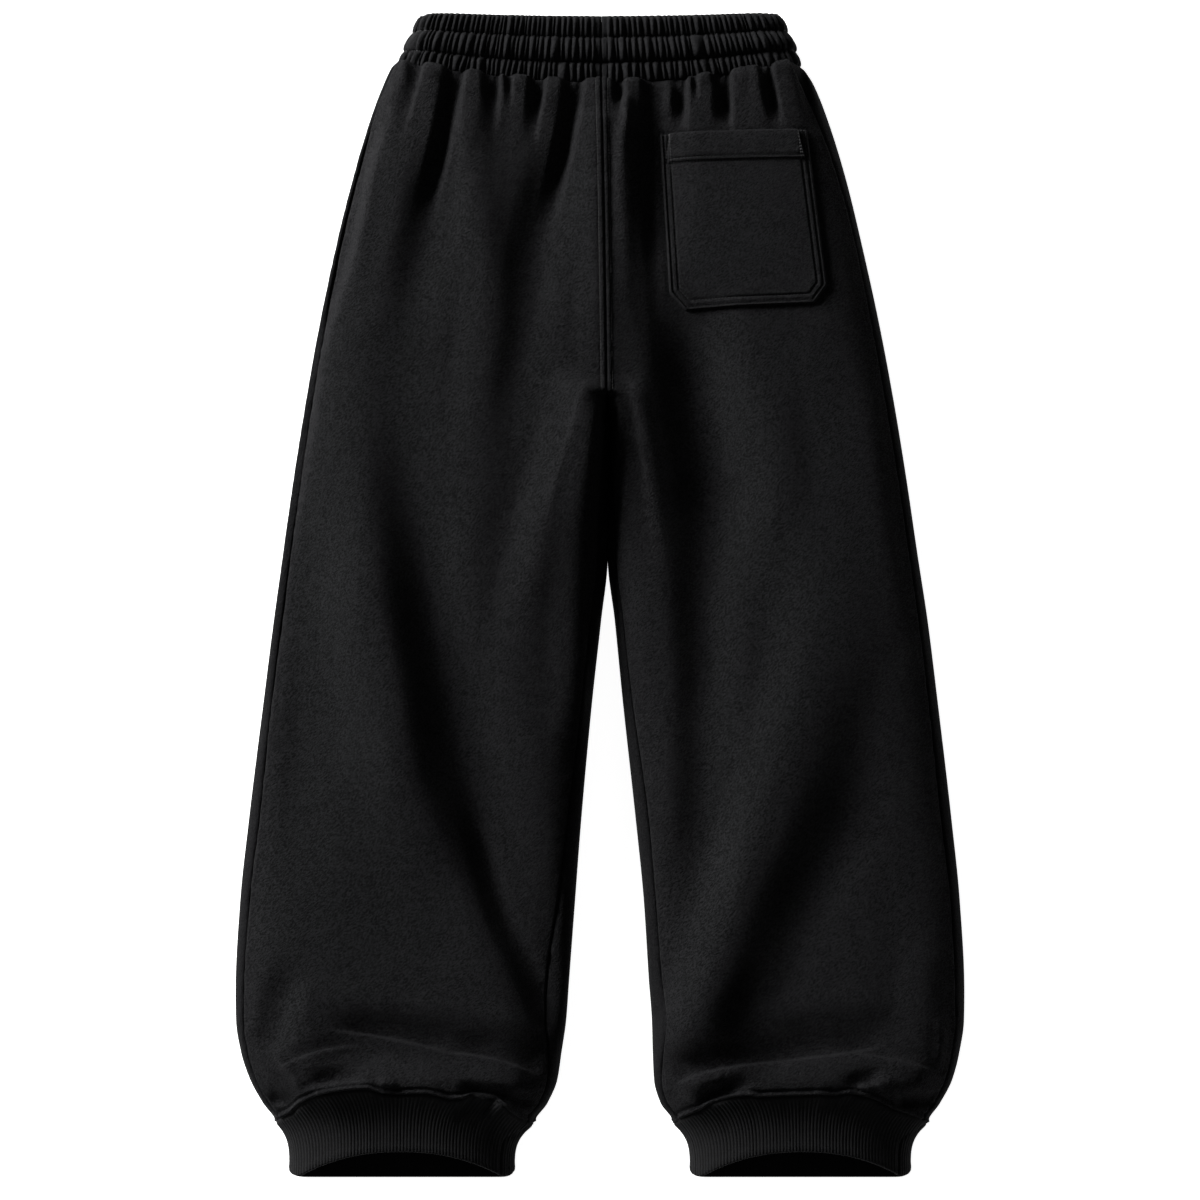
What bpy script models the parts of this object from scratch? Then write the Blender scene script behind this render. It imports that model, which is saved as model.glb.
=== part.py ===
"""Jogger sweatpants in heavy brushed fleece, lying on their front with the back up.

Every panel is a cloth wall.  The two halves of the trousers are one smooth skin each, given by the
sections in SECTIONS, and each panel is the stretch of that skin between its seams.  A place on a
half is (run, down): `run` goes once round the half, from the centre back seam or inseam over the
top, round the outer side and back underneath, and `down` is the distance from the waist's edge.

Lengths in the tables are millimetres; meshes are metres.  +X is the wearer's right, +Y is towards
the waist, +Z is up.  The origin is under the middle of the trousers, on the surface they lie on.
"""

import math
import random

import bmesh
import bpy
from mathutils import Vector
from mathutils.bvhtree import BVHTree

MM = 0.001

# Driving dimensions
LENGTH = 1075.0          # waist edge to cuff hem, as it lies
CLOTH = 2.4              # heavy fleece, brushed inside
BAND_CLOTH = 4.2         # folded fleece over flat elastic
CUFF_CLOTH = 2.6         # two layers of rib knit, pressed
SEAM_GAP = 0.3           # clear space between the pieces of a seam
LEG_GAP = 0.4            # each leg's distance from the middle plane, added below the crotch
BAND_SEAM = 51.0         # waistband seam, at the sides
CROTCH = 372.0
CUFF_SEAM = 1027.0       # cuff seam, at the sides

# How far the top layer's seams bow away from the straight seams underneath
BAND_SEAM_BOW = 22.5
WAIST_EDGE_BOW = 9.0
BOW_FADE = 200.0
CUFF_SEAM_BOW = 23.0
CUFF_HEM_BOW = 20.5
CUFF_BOW_START = 930.0

# The centre back seam dives between the legs over this stretch
CROTCH_DIVE = 95.0
CROTCH_SHARPNESS = 3

# Stretches of `run` on each half
OUTER_SEAM = 1.0         # 0 to 1 is the back panel
OUTER_EDGE = 2.0         # the widest line of the outer side
OUTER_FLOOR = 3.0        # where the outer side meets the floor
INNER_FLOOR = 4.0        # where the flat underside ends, towards the other half
INNER_EDGE = 5.0         # centre front seam, or the widest line of the leg's inner side
INSEAM = 6.0             # back at the inseam

# Gathers under the waistband
PINCH = 8.0              # depth of the gathered seam under the puffs
PUFF_RISE = 17.0         # length over which a puff swells up from the seam

# Waistband
BAND_RIBS = 62           # gathers of each tunnel, from side to side over the back
TUNNELS = (              # share of the band's height where each starts and ends, and its swell
    (0.0, 0.37, 2.2), (0.37, 0.69, 3.4), (0.69, 1.0, 2.4))
TUNNEL_ROWS = (0.0, 0.28, 0.72)
BEND_START = 0.8         # run where the band's back starts to bend down to the sides
RIB_HEIGHT = 2.2
BACK_TAB = 5.5           # half width of the plain strip at the centre back
WAIST_WIDTH = 0.92       # the waist's edge, as a share of the waistband seam's width
WAIST_HEIGHT = 0.94

# Cuffs
CUFF_RIBS = 62           # raised ribs over the top of each cuff
CUFF_RIB_HEIGHT = 0.6
CUFF_DRAW_IN = 3.5       # how quickly the cuff narrows below its seam
CUFF_HEM_BOW_SHARPNESS = 2.2
CUFF_HEMS = {
    "left": {"out": 276.5, "in": 76.5, "tall": 46, "belly": 11, "floor": 14, "round": 2.6,
             "round_in": 2.6, "strip": 5, "inseam": 5},
    "right": {"out": 276.5, "in": 80.5, "tall": 46, "belly": 11, "floor": 14, "round": 2.6,
              "round_in": 2.6, "strip": 5, "inseam": 5}}

# Raised ridges of the topstitched centre back seam
WELT_CREST = 4.3         # from the seam to the ridge's crest
WELT_FOOT = 7.5          # and to its outer foot
WELT_HEIGHT = 1.1

# Patch pocket: its corners, as (across, down), clockwise from the top corner near the seam
POCKET_TOP = ((55.3, 124.8), (190.8, 121.0))
POCKET_SIDE_ENDS = ((63.6, 274.7), (207.9, 268.6))
POCKET_BOTTOM = ((78.6, 290.7), (195.8, 285.5))
POCKET_CLOTH = 2.2
POCKET_LIFT = 0.3        # above the highest facets of the panel within POCKET_SPAN
POCKET_SPAN = 9.0
POCKET_HEM = 27.0
POCKET_HEM_RAISE = 1.2


class Table:
    """Rows of numbers under named columns, read smoothly between the rows."""

    def __init__(self, columns, rows):
        self.names = columns.split()
        self.rows = rows

    def read(self, name, at):
        column = self.names.index(name)
        spots = [row[0] for row in self.rows]
        if at <= spots[0]:
            return self.rows[0][column]
        if at >= spots[-1]:
            return self.rows[-1][column]
        k = max(i for i in range(len(spots) - 1) if spots[i] <= at)
        span = spots[k + 1] - spots[k]
        t = (at - spots[k]) / span
        a, b = self.rows[k][column], self.rows[k + 1][column]
        slope_a, slope_b = self._slope(k, column), self._slope(k + 1, column)
        return (a * (2 * t**3 - 3 * t**2 + 1) + b * (3 * t**2 - 2 * t**3)
                + span * (slope_a * (t**3 - 2 * t**2 + t) + slope_b * (t**3 - t**2)))

    def _slope(self, k, column):
        """Slope at row k that never overshoots its neighbours."""
        if k == 0 or k == len(self.rows) - 1:
            return 0.0
        before, here, after = self.rows[k - 1], self.rows[k], self.rows[k + 1]
        left = (here[column] - before[column]) / (here[0] - before[0])
        right = (after[column] - here[column]) / (after[0] - here[0])
        if left * right <= 0:
            return 0.0
        return 2 * left * right / (left + right)


# One row for each section.  out and in are the sides' distances from the middle plane, in toward
# the other leg; tall is the crown's height, belly the height of the widest line, floor the width
# of the roll under the side, round and round_in the squareness of the upper outer and inner side,
# strip and inseam the distances of the seams on top from the sides' widest lines.
SECTIONS = {
    "left": Table(
        "down out in tall belly floor round round_in strip inseam", (
            (51, 186, -0.6, 54, 23.5, 24, 7.0, 14, 4, 0),
            (58, 195, -0.9, 55, 23.5, 24, 6.6, 14, 4, 0),
            (68, 200.5, -1.2, 56, 23.5, 23, 6.2, 14, 4, 0),
            (103, 213.5, -2.0, 57, 23.0, 21, 5.6, 14, 4, 0),
            (160, 229.5, -3.2, 56, 22.5, 20, 5.2, 14, 5, 0),
            (217, 242.8, -4.2, 55, 22.0, 19, 5.0, 14, 5, 0),
            (300, 259.0, -5.4, 54, 21.5, 18, 4.8, 14, 6, 0),
            (372, 270.6, -6.4, 52, 21.0, 18, 4.6, 13, 6, 0),
            (440, 280.3, -6.9, 50, 21.0, 18, 4.6, 10, 7, 6),
            (515, 289.8, -6.9, 48, 20.5, 18, 4.6, 7.5, 7, 9),
            (574, 297.0, -0.9, 47, 20.0, 18, 4.6, 6, 8, 9),
            (648, 305.2, 7.2, 47, 20.0, 18, 4.6, 5, 8, 9),
            (757, 316.9, 17.1, 48, 20.5, 18, 4.6, 4.6, 10, 12),
            (829, 323.4, 22.5, 50, 21.5, 19, 4.6, 4.6, 9, 15),
            (901, 326.2, 27.8, 54, 23.0, 20, 4.6, 4.6, 8, 20),
            (937, 325.3, 30.4, 57, 24.0, 21, 4.5, 4.5, 7, 18),
            (965, 320.5, 34.5, 59, 24.0, 22, 4.3, 4.3, 6, 12),
            (990, 312.0, 38.5, 56, 23.0, 21, 4.0, 4.0, 5, 8),
            (1010, 301.0, 47.5, 52, 20.0, 18, 3.6, 3.6, 5, 6),
            (1027, 289.5, 59.5, 50, 16.0, 16, 3.2, 3.2, 5, 5))),
    "right": Table(
        "down out in tall belly floor round round_in strip inseam", (
            (51, 185.5, 0.6, 54, 23.5, 24, 7.0, 14, 15, 0),
            (58, 193.0, 0.9, 55, 23.5, 24, 6.6, 14, 16, 0),
            (68, 199.0, 1.2, 56, 23.5, 23, 6.2, 14, 16, 0),
            (103, 212.0, 2.0, 57, 23.0, 21, 5.6, 14, 13, 0),
            (160, 228.3, 3.2, 56, 22.5, 20, 5.2, 14, 9, 0),
            (217, 241.2, 4.2, 55, 22.0, 19, 5.0, 14, 7, 0),
            (300, 258.0, 5.4, 54, 21.5, 18, 4.8, 14, 8, 0),
            (372, 270.3, 6.4, 52, 21.0, 18, 4.6, 13, 8, 0),
            (440, 280.3, 7.5, 50, 21.0, 18, 4.6, 10, 8, 4),
            (515, 290.2, 8.1, 48, 20.5, 18, 4.6, 7.5, 8, 7),
            (574, 298.3, 13.6, 47, 20.0, 18, 4.6, 6, 9, 7),
            (648, 306.3, 20.8, 47, 20.0, 18, 4.6, 5, 9, 8),
            (757, 317.3, 32.5, 48, 20.5, 18, 4.6, 4.6, 10, 11),
            (829, 323.4, 39.5, 50, 21.5, 19, 4.6, 4.6, 9, 10),
            (901, 326.2, 43.9, 54, 23.0, 20, 4.6, 4.6, 9, 11),
            (937, 325.3, 46.5, 57, 24.0, 21, 4.5, 4.5, 8, 12),
            (965, 320.8, 47.2, 59, 24.0, 22, 4.3, 4.3, 7, 9),
            (990, 313.8, 48.3, 56, 23.0, 21, 4.0, 4.0, 6, 6),
            (1010, 303.0, 54.0, 52, 20.0, 18, 3.6, 3.6, 5, 5),
            (1027, 292.0, 65.0, 50, 16.0, 16, 3.2, 3.2, 5, 5))),
}

# Troughs between the gathered puffs: place across at the seam, half width, depth as a share of
# PINCH, length down the cloth, and sideways drift over that length
TROUGHS = tuple(dict(zip("across half depth length drift".split(), row)) for row in (
    (-190, 7, 0.6, 60, -18), (-163, 5, 0.8, 70, -16), (-132, 9, 1.3, 230, -46),
    (-90, 10, 1.0, 120, -12), (-56, 5, 0.9, 90, -4), (-28, 9, 1.4, 240, 0),
    (12, 7, 1.0, 120, 3), (42, 7, 1.3, 300, 6), (72, 7, 1.0, 110, 6), (108, 8, 1.1, 150, 8),
    (145, 5, 0.9, 80, 8), (184, 6, 0.6, 60, 12)))

# Folds of the legs: a bent line through three places (across, down), the rise of its crest (or
# fall, below zero) and the half width of its slopes
FOLDS = tuple(dict(zip("x0 d0 x1 d1 x2 d2 rise half".split(), row)) for row in (
    (-140, 300, -186, 640, -40, 940, -6.0, 42),      # long valley down the left leg
    (-22, 362, -37, 420, -56, 590, 3.5, 17),         # ridge from the crotch, left leg
    (-228, 560, -214, 720, -232, 860, 3.0, 45),      # broad swell of the left calf
    (-270, 850, -282, 920, -292, 975, -4.5, 20),     # hollow at the left outer ankle
    (-240, 915, -190, 905, -130, 930, -4.0, 26),     # hollow above the left ankle crest
    (48, 290, 92, 410, 118, 520, -6.0, 34),          # valley from the seat, right leg
    (24, 372, 40, 440, 60, 540, 3.0, 18),            # ridge from the crotch, right leg
    (182, 600, 134, 770, 50, 955, 5.5, 36),          # long ridge down the right leg
    (238, 660, 190, 810, 84, 950, -5.5, 34),         # valley outside that ridge
    (84, 650, 82, 800, 62, 900, -4.5, 30),           # valley inside that ridge
    (282, 860, 284, 920, 280, 965, 2.0, 26),         # swell of the right outer calf
    (-250, 956, -160, 966, -62, 981, 4.5, 12),       # crest over the left ankle
    (-262, 975, -232, 962, -190, 962, 2.5, 11),      # second crest at its outer end
    (84, 990, 158, 976, 262, 966, 4.5, 12),          # crest over the right ankle
    (222, 970, 262, 974, 300, 988, 2.5, 11),         # its outer branch
    (-240, 991, -222, 984, -192, 985, -5.5, 13),     # tucks above the left cuff
    (-130, 993, -100, 992, -74, 1000, -6.0, 13),
    (96, 1000, 118, 990, 134, 990, -5.5, 12),        # tucks above the right cuff
    (216, 984, 234, 984, 250, 986, -4.5, 11),
    (256, 1003, 274, 1003, 288, 1008, -6.0, 11)))

# Nominal places of the mesh rows, and of its columns over each stretch of `run`
YOKE_ROWS = (51, 55, 60, 67, 77, 91, 112)
SEAT_ROWS = (112, 150, 200, 250, 292, 322, 343, 357, 366, 372)
LEG_ROWS = (372, 377, 388, 406, 432, 468, 515, 575, 640, 700, 755, 805, 850, 885, 912, 934, 950,
            963, 974, 984, 994, 1004, 1015, 1027)
YOKE_COLUMNS = 26
BACK_COLUMNS = 14
UPPER_SIDE_COLUMNS = 2
LOWER_SIDE_COLUMNS = 3
FLOOR_COLUMNS = 2
UPPER_INNER_COLUMNS = 2


def ease(t):
    """0 to 1 with level ends."""
    t = min(max(t, 0.0), 1.0)
    return t * t * (3 - 2 * t)


def hump(distance, half):
    """1 at distance 0, falling smoothly to 0 at half."""
    return 0.5 + 0.5 * math.cos(math.pi * min(abs(distance) / half, 1.0))


def place(across, down, up):
    """A point in metres, from millimetres across, down from the waist's edge, and up."""
    return Vector((across * MM, (LENGTH / 2 - down) * MM, up * MM))


def fold_rise(fold, across, down):
    """Height that one fold adds at a place: its hump over the nearest point of its bent line."""
    best = 1e9
    best_t = 0.0
    reach = 2.2 * fold["half"]
    if not (min(fold["d0"], fold["d2"]) - reach < down < max(fold["d0"], fold["d2"]) + reach):
        return 0.0
    for step in range(25):
        t = step / 24
        x = (1 - t) ** 2 * fold["x0"] + 2 * t * (1 - t) * fold["x1"] + t * t * fold["x2"]
        d = (1 - t) ** 2 * fold["d0"] + 2 * t * (1 - t) * fold["d1"] + t * t * fold["d2"]
        gap = math.hypot(across - x, down - d)
        if gap < best:
            best, best_t = gap, t
    return fold["rise"] * hump(best, fold["half"]) * ease(5 * best_t) * ease(5 * (1 - best_t))


def seam_bow(across):
    """How far the waistband seam lies below its sides, over the top layer."""
    return BAND_SEAM_BOW * max(0.0, 1 - (across / 190.0) ** 2)


def gathers(across, down):
    """Depth of the gathered cloth under the waistband, below the puffs' tops."""
    below = down - BAND_SEAM - seam_bow(across)
    if below > 320:
        return 0.0
    rise = ease(below / PUFF_RISE)
    pull = 0.0
    for trough in TROUGHS:
        middle = trough["across"] + trough["drift"] * below / trough["length"]
        half = trough["half"] * (1 + 1.6 * max(below, 0) / trough["length"])
        fade = 1 - ease(below / trough["length"])
        pull = max(pull, trough["depth"] * fade * hump(across - middle, half))
    return -PINCH * (1 - rise) - PINCH * rise * pull


def relief(across, down):
    """Gathers and folds of the top layer."""
    return gathers(across, down) + sum(fold_rise(fold, across, down) for fold in FOLDS)


def finish_section(s):
    """Adds what follows from a section's own columns: its middle, half width and seam heights."""
    s.setdefault("closed", 1.0)
    s["middle"] = (s["out"] + s["in"]) / 2
    s["half"] = (s["out"] - s["in"]) / 2
    s["seam_up"] = math.sqrt(1 - (1 - s["strip"] / s["half"]) ** s["round"])
    s["inseam_up"] = math.sqrt(1 - (1 - s["inseam"] / s["half"]) ** s["round_in"])
    return s


def lower_place(run, s):
    """(distance from the middle plane, height) below the widest line of a section."""
    if run <= OUTER_FLOOR:
        angle = (run - OUTER_EDGE) * math.pi / 2
        return s["out"] - s["floor"] * (1 - math.cos(angle)), s["belly"] * (1 - math.sin(angle))
    if run <= INNER_FLOOR:
        t = run - OUTER_FLOOR
        return (s["out"] - s["floor"]) * (1 - t) + (s["in"] + s["floor"]) * t, 0.0
    turn = math.sin((run - INNER_FLOOR) * math.pi / 2)
    rise = 1 - math.sqrt(max(0.0, 1 - s["closed"] * turn * turn))
    return s["in"] + s["floor"] * (1 - turn), s["belly"] * rise


def side_place(run, s):
    """The same between a section's widest line and the seam above it."""
    if run < OUTER_EDGE:
        way, rise, power = 1, (OUTER_EDGE - run) * s["seam_up"], s["round"]
    else:
        way, rise, power = -1, (run - INNER_EDGE) * s["inseam_up"], s["round_in"]
    reach = (1 - rise * rise) ** (1 / power)
    return s["middle"] + way * s["half"] * reach, s["belly"] + (s["tall"] - s["belly"]) * rise


def crown(q, s):
    """Height of a section's upper side at distance q from the middle plane."""
    reach = min(max((q - s["middle"]) / s["half"], -1.0), 1.0)
    fall = reach ** s["round"] if reach > 0 else s["closed"] * (-reach) ** s["round_in"]
    return s["belly"] + (s["tall"] - s["belly"]) * math.sqrt(1 - fall)


class Half:
    """The skin of one half: a leg and its side of the seat."""

    def __init__(self, name, side):
        self.name = name
        self.side = side
        self.table = SECTIONS[name]

    def section(self, down):
        s = {name: self.table.read(name, down) for name in self.table.names[1:]}
        if down > CROTCH:
            s["in"] += LEG_GAP
        else:
            dive = max(0.0, 1 - (CROTCH - down) / CROTCH_DIVE) ** CROTCH_SHARPNESS
            s["closed"] = 1 - (1 - dive) ** 2
        return finish_section(s)

    def bow(self, q, s, nominal):
        """How far a place on the top layer moves down from its nominal row."""
        top = seam_bow(q) * (1 - ease((nominal - BAND_SEAM) / BOW_FADE))
        legs = ease((nominal - CUFF_BOW_START) / (CUFF_SEAM - CUFF_BOW_START))
        return top - CUFF_SEAM_BOW * legs * max(0.0, 1 - ((q - s["middle"]) / s["half"]) ** 2)

    def back_width(self, s, nominal):
        """Distances of the back panel's two seams from the middle plane."""
        inner = s["in"] + (s["inseam"] if nominal > CROTCH else 0.0)
        return inner, s["out"] - s["strip"]

    def point(self, run, nominal):
        """(across, down, up) in millimetres of a place on the skin."""
        s = self.section(nominal)
        if OUTER_EDGE <= run <= INNER_EDGE:
            q, up = lower_place(run, s)
            return self.side * q, nominal, up
        if run <= OUTER_SEAM:
            inner, outer = self.back_width(s, nominal)
            down = nominal + self.bow(inner + run * (outer - inner), s, nominal)
            s = self.section(down)
            inner, outer = self.back_width(s, nominal)
            q = inner + run * (outer - inner)
            return self.side * q, down, crown(q, s) + relief(self.side * q, down)
        down = nominal + self.bow(side_place(run, s)[0], s, nominal)
        q, up = side_place(run, self.section(down))
        share = OUTER_EDGE - run if run < OUTER_EDGE else run - INNER_EDGE
        return self.side * q, down, up + share * share * relief(self.side * q, down)

    def normal(self, run, nominal):
        """Unit vector out of the cloth, in (across, along +Y, up)."""
        if run >= INSEAM:
            run = 0.0
        if nominal == CROTCH and run in (0.0, INNER_EDGE):
            return Vector((0, -1, 0))
        small = 0.02
        low, high = run - small, run + small
        if run < small:
            low = run
        if run in (OUTER_SEAM, INNER_EDGE):
            high = run
        a, b = self.point(low, nominal), self.point(high, nominal)
        around = Vector((b[0] - a[0], a[1] - b[1], b[2] - a[2]))
        step = 1.0
        up, down = nominal - step, nominal + step
        if up < CROTCH < down:
            up, down = (nominal, down) if nominal >= CROTCH else (up, nominal)
        a, b = self.point(run, up), self.point(run, down)
        along = Vector((b[0] - a[0], a[1] - b[1], b[2] - a[2]))
        if nominal in (BAND_SEAM, CUFF_SEAM):
            around.y = 0
            along = Vector((0, -1, 0))
        out = along.cross(around) * self.side
        if nominal < CROTCH and run in (0.0, INNER_EDGE):
            out.x = 0
        return out.normalized()

    def seam_point(self, run, nominal, inset, row_inset=0.0):
        """A skin point and its thickness direction, moved off a seam into its own panel.

        inset moves along `run` and row_inset along the cloth, both in millimetres."""
        across, down, up = self.point(run, nominal)
        spot = place(across, down + row_inset, up)
        if inset and run in (0.0, INNER_EDGE) and nominal <= CROTCH:
            spot.x += self.side * abs(inset) * MM
            if nominal == CROTCH:
                spot.z += inset * MM
        elif inset:
            step = 0.02 if inset > 0 else -0.02
            near = self.point(run + step, nominal)
            spot += (place(*near) - place(across, down, up)).normalized() * abs(inset) * MM
        return spot, self.normal(run, nominal)


LEFT = Half("left", -1)
RIGHT = Half("right", 1)


# ---------------------------------------------------------------- meshes

def zip_runs(faces, first, second):
    """Triangles between two rows of (vertex index, place along the row)."""
    i = j = 0
    while i < len(first) - 1 or j < len(second) - 1:
        if j == len(second) - 1:
            step_first = True
        elif i == len(first) - 1:
            step_first = False
        else:
            step_first = first[i + 1][1] <= second[j + 1][1] + 1e-9
        if step_first:
            faces.append((first[i][0], first[i + 1][0], second[j][0]))
            i += 1
        else:
            faces.append((first[i][0], second[j + 1][0], second[j][0]))
            j += 1


def cloth_object(name, outer, inner, material):
    """A closed wall from rows of outer and rows of inner points.

    Each row is (place of the row, [(point, place along the row), ...])."""
    points, faces = [], []

    def rows_of(layer):
        rows = []
        for spot, row in layer:
            indexed = []
            for point, along in row:
                indexed.append((len(points), along))
                points.append(point)
            rows.append((spot, indexed))
        return rows

    skin, lining = rows_of(outer), rows_of(inner)
    for layer in (skin, lining):
        for (_, row), (_, following) in zip(layer, layer[1:]):
            zip_runs(faces, row, following)
    for end in (0, -1):
        zip_runs(faces, skin[end][1], lining[end][1])
        zip_runs(faces, [(row[end][0], spot) for spot, row in skin],
                 [(row[end][0], spot) for spot, row in lining])

    mesh = bpy.data.meshes.new(name)
    body = bmesh.new()
    verts = [body.verts.new(point) for point in points]
    for face in faces:
        body.faces.new([verts[i] for i in face])
    bmesh.ops.recalc_face_normals(body, faces=body.faces)
    if body.calc_volume(signed=True) < 0:
        bmesh.ops.reverse_faces(body, faces=body.faces)
    body.to_mesh(mesh)
    body.free()
    mesh.shade_smooth()
    mesh.set_sharp_from_angle(angle=math.radians(50))
    mesh.materials.append(material)
    thing = bpy.data.objects.new(name, mesh)
    bpy.context.scene.collection.objects.link(thing)
    return thing


def cloth_material(name, colour, roughness):
    material = bpy.data.materials.new(name)
    material.use_nodes = True
    shader = material.node_tree.nodes["Principled BSDF"]
    shader.inputs["Base Color"].default_value = (*colour, 1.0)
    shader.inputs["Roughness"].default_value = roughness
    shader.inputs["Metallic"].default_value = 0.0
    return material


def steps(first, last, count):
    return [first + (last - first) * i / count for i in range(count + 1)]


def panel(half, name, material, stretch, columns_at, raise_at):
    """The wall of the skin over a stretch of `run`; columns_at(nominal) lists a row's runs.

    The row at the waistband seam has the waistband's own columns, so that the two stay parallel."""
    outer, inner = [], []
    for nominal in YOKE_ROWS + SEAT_ROWS[1:] + LEG_ROWS[1:]:
        row_inset = SEAM_GAP / 2 * ((nominal == BAND_SEAM) - (nominal == CUFF_SEAM))
        skin, lining = [], []
        runs = columns_at(nominal)
        if nominal == BAND_SEAM:
            between = [run for run in band_runs(half) if runs[0] < run < runs[-1]]
            runs = [runs[0]] + between + [runs[-1]]
        for i, run in enumerate(runs):
            inset = SEAM_GAP / 2 * ((i == 0) - (i == len(runs) - 1))
            spot, out = half.seam_point(run, nominal, inset, row_inset)
            along = (run - stretch[0]) / (stretch[1] - stretch[0])
            skin.append((spot + out * raise_at(run, nominal) * MM, along))
            lining.append((spot - out * CLOTH * MM, along))
        outer.append((nominal, skin))
        inner.append((nominal, lining))
    return cloth_object(name, outer, inner, material)


def back_panel(half, material):
    """Top layer of a half, with the ridge of the centre back seam along its inner edge."""

    def seam_share(nominal, distance):
        inner, outer = half.back_width(half.section(nominal), nominal)
        return distance / (outer - inner)

    def columns_at(nominal):
        count = YOKE_COLUMNS if nominal <= YOKE_ROWS[-1] else BACK_COLUMNS
        foot = seam_share(nominal, WELT_FOOT)
        return [0.0, seam_share(nominal, WELT_CREST)] + steps(foot, OUTER_SEAM, count - 2)

    def raise_at(run, nominal):
        if nominal >= SEAT_ROWS[-2]:
            return 0.0
        return WELT_HEIGHT * (run == seam_share(nominal, WELT_CREST))

    return panel(half, "back_" + half.name, material, (0.0, OUTER_SEAM), columns_at, raise_at)


def front_panel(half, material):
    """Underside and side strips of a half."""

    def columns_at(nominal):
        runs = (steps(OUTER_SEAM, OUTER_EDGE, UPPER_SIDE_COLUMNS)
                + steps(OUTER_EDGE, OUTER_FLOOR, LOWER_SIDE_COLUMNS)[1:]
                + steps(OUTER_FLOOR, INNER_FLOOR, FLOOR_COLUMNS)[1:]
                + steps(INNER_FLOOR, INNER_EDGE, LOWER_SIDE_COLUMNS)[1:])
        if nominal > CROTCH:
            runs += steps(INNER_EDGE, INSEAM, UPPER_INNER_COLUMNS)[1:]
        return runs

    return panel(half, "front_" + half.name, material, (OUTER_SEAM, INSEAM), columns_at,
                 lambda run, nominal: 0.0)


# ---------------------------------------------------------------- waistband

def rib_runs(trace, start, count):
    """Runs of `count` equal ribs (valley, crest, valley, ...) along the curve trace(run), from
    `start` millimetres past the seam to the widest line."""
    fine = steps(0.0, OUTER_EDGE, 400)
    lengths = [0.0]
    for a, b in zip(fine, fine[1:]):
        (xa, _, za), (xb, _, zb) = trace(a), trace(b)
        lengths.append(lengths[-1] + math.hypot(xb - xa, zb - za))
    found, k = [], 0
    for target in steps(start, lengths[-1], 2 * count):
        while k < len(fine) - 2 and lengths[k + 1] < target:
            k += 1
        t = (target - lengths[k]) / (lengths[k + 1] - lengths[k])
        found.append(fine[k] + t * (fine[k + 1] - fine[k]))
    found[-1] = OUTER_EDGE
    return found


def band_runs(half):
    """Runs of the waistband's columns, from the centre back to the centre front."""
    ribs = rib_runs(lambda run: half.point(run, BAND_SEAM), BACK_TAB, BAND_RIBS // 2)
    return ([0.0] + ribs + steps(OUTER_EDGE, OUTER_FLOOR, 4)[1:]
            + steps(OUTER_FLOOR, INNER_EDGE, 4)[1:])


def band_spot(half, run, height):
    """(point, thickness direction) of the plain band; height is 0 at the waist's edge, 1 at the
    seam."""
    across, down, up = half.point(run, BAND_SEAM)
    edge = (down - BAND_SEAM) / BAND_SEAM_BOW * WAIST_EDGE_BOW
    seam = down - SEAM_GAP / 2
    across *= WAIST_WIDTH + (1 - WAIST_WIDTH) * height
    up *= WAIST_HEIGHT + (1 - WAIST_HEIGHT) * height
    return place(across, edge + (seam - edge) * height, up), half.normal(run, BAND_SEAM)


def waistband(material):
    """One strip round the waist, open at the centre back seam, with three elastic tunnels."""
    luck = random.Random(7)
    outer, inner = [], []
    skin_runs = {half.name: band_runs(half) for half in (LEFT, RIGHT)}
    lining_runs = (steps(0.0, BEND_START, 6) + steps(BEND_START, OUTER_SEAM, 8)[1:]
                   + steps(OUTER_SEAM, OUTER_EDGE, 5)[1:] + steps(OUTER_EDGE, OUTER_FLOOR, 4)[1:]
                   + steps(OUTER_FLOOR, INNER_EDGE, 4)[1:])

    def ring(runs_of, height, raise_at):
        """The band's points at one height, from the centre back round to the centre back."""
        row = []
        for half in (LEFT, RIGHT):
            stretch = []
            for i, run in enumerate(runs_of(half)):
                spot, out = band_spot(half, run, height)
                if run == 0:
                    spot.x += half.side * SEAM_GAP / 2 * MM
                spot += out * raise_at(half, i, run, out) * MM
                along = run if half is LEFT else 2 * INNER_EDGE - run
                stretch.append((spot, along))
            row += stretch if half is LEFT else stretch[-2::-1]
        return row

    for start, end, swell in TUNNELS:
        heights = {half.name: [luck.uniform(0.55, 1.15) for _ in range(BAND_RIBS // 2)]
                   for half in (LEFT, RIGHT)}
        for share in TUNNEL_ROWS if end < 1.0 else TUNNEL_ROWS + (1.0,):
            height = start + (end - start) * share
            arch = math.sin(math.pi * share) ** 0.7

            def raise_at(half, i, run, out):
                clear = ease((out.z + 0.95) / 0.7)
                rise = swell * arch
                if 2 <= i < 2 * BAND_RIBS // 2 + 1 and i % 2 == 0:
                    rise += RIB_HEIGHT * (0.3 + 0.7 * arch) * heights[half.name][i // 2 - 1]
                return rise * clear

            outer.append((height, ring(lambda half: skin_runs[half.name], height, raise_at)))
    for height in steps(0.0, 1.0, 3):
        inner.append((height, ring(lambda half: lining_runs, height,
                                   lambda half, i, run, out: -BAND_CLOTH)))
    return cloth_object("waistband", outer, inner, material)


# ---------------------------------------------------------------- cuffs

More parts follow.
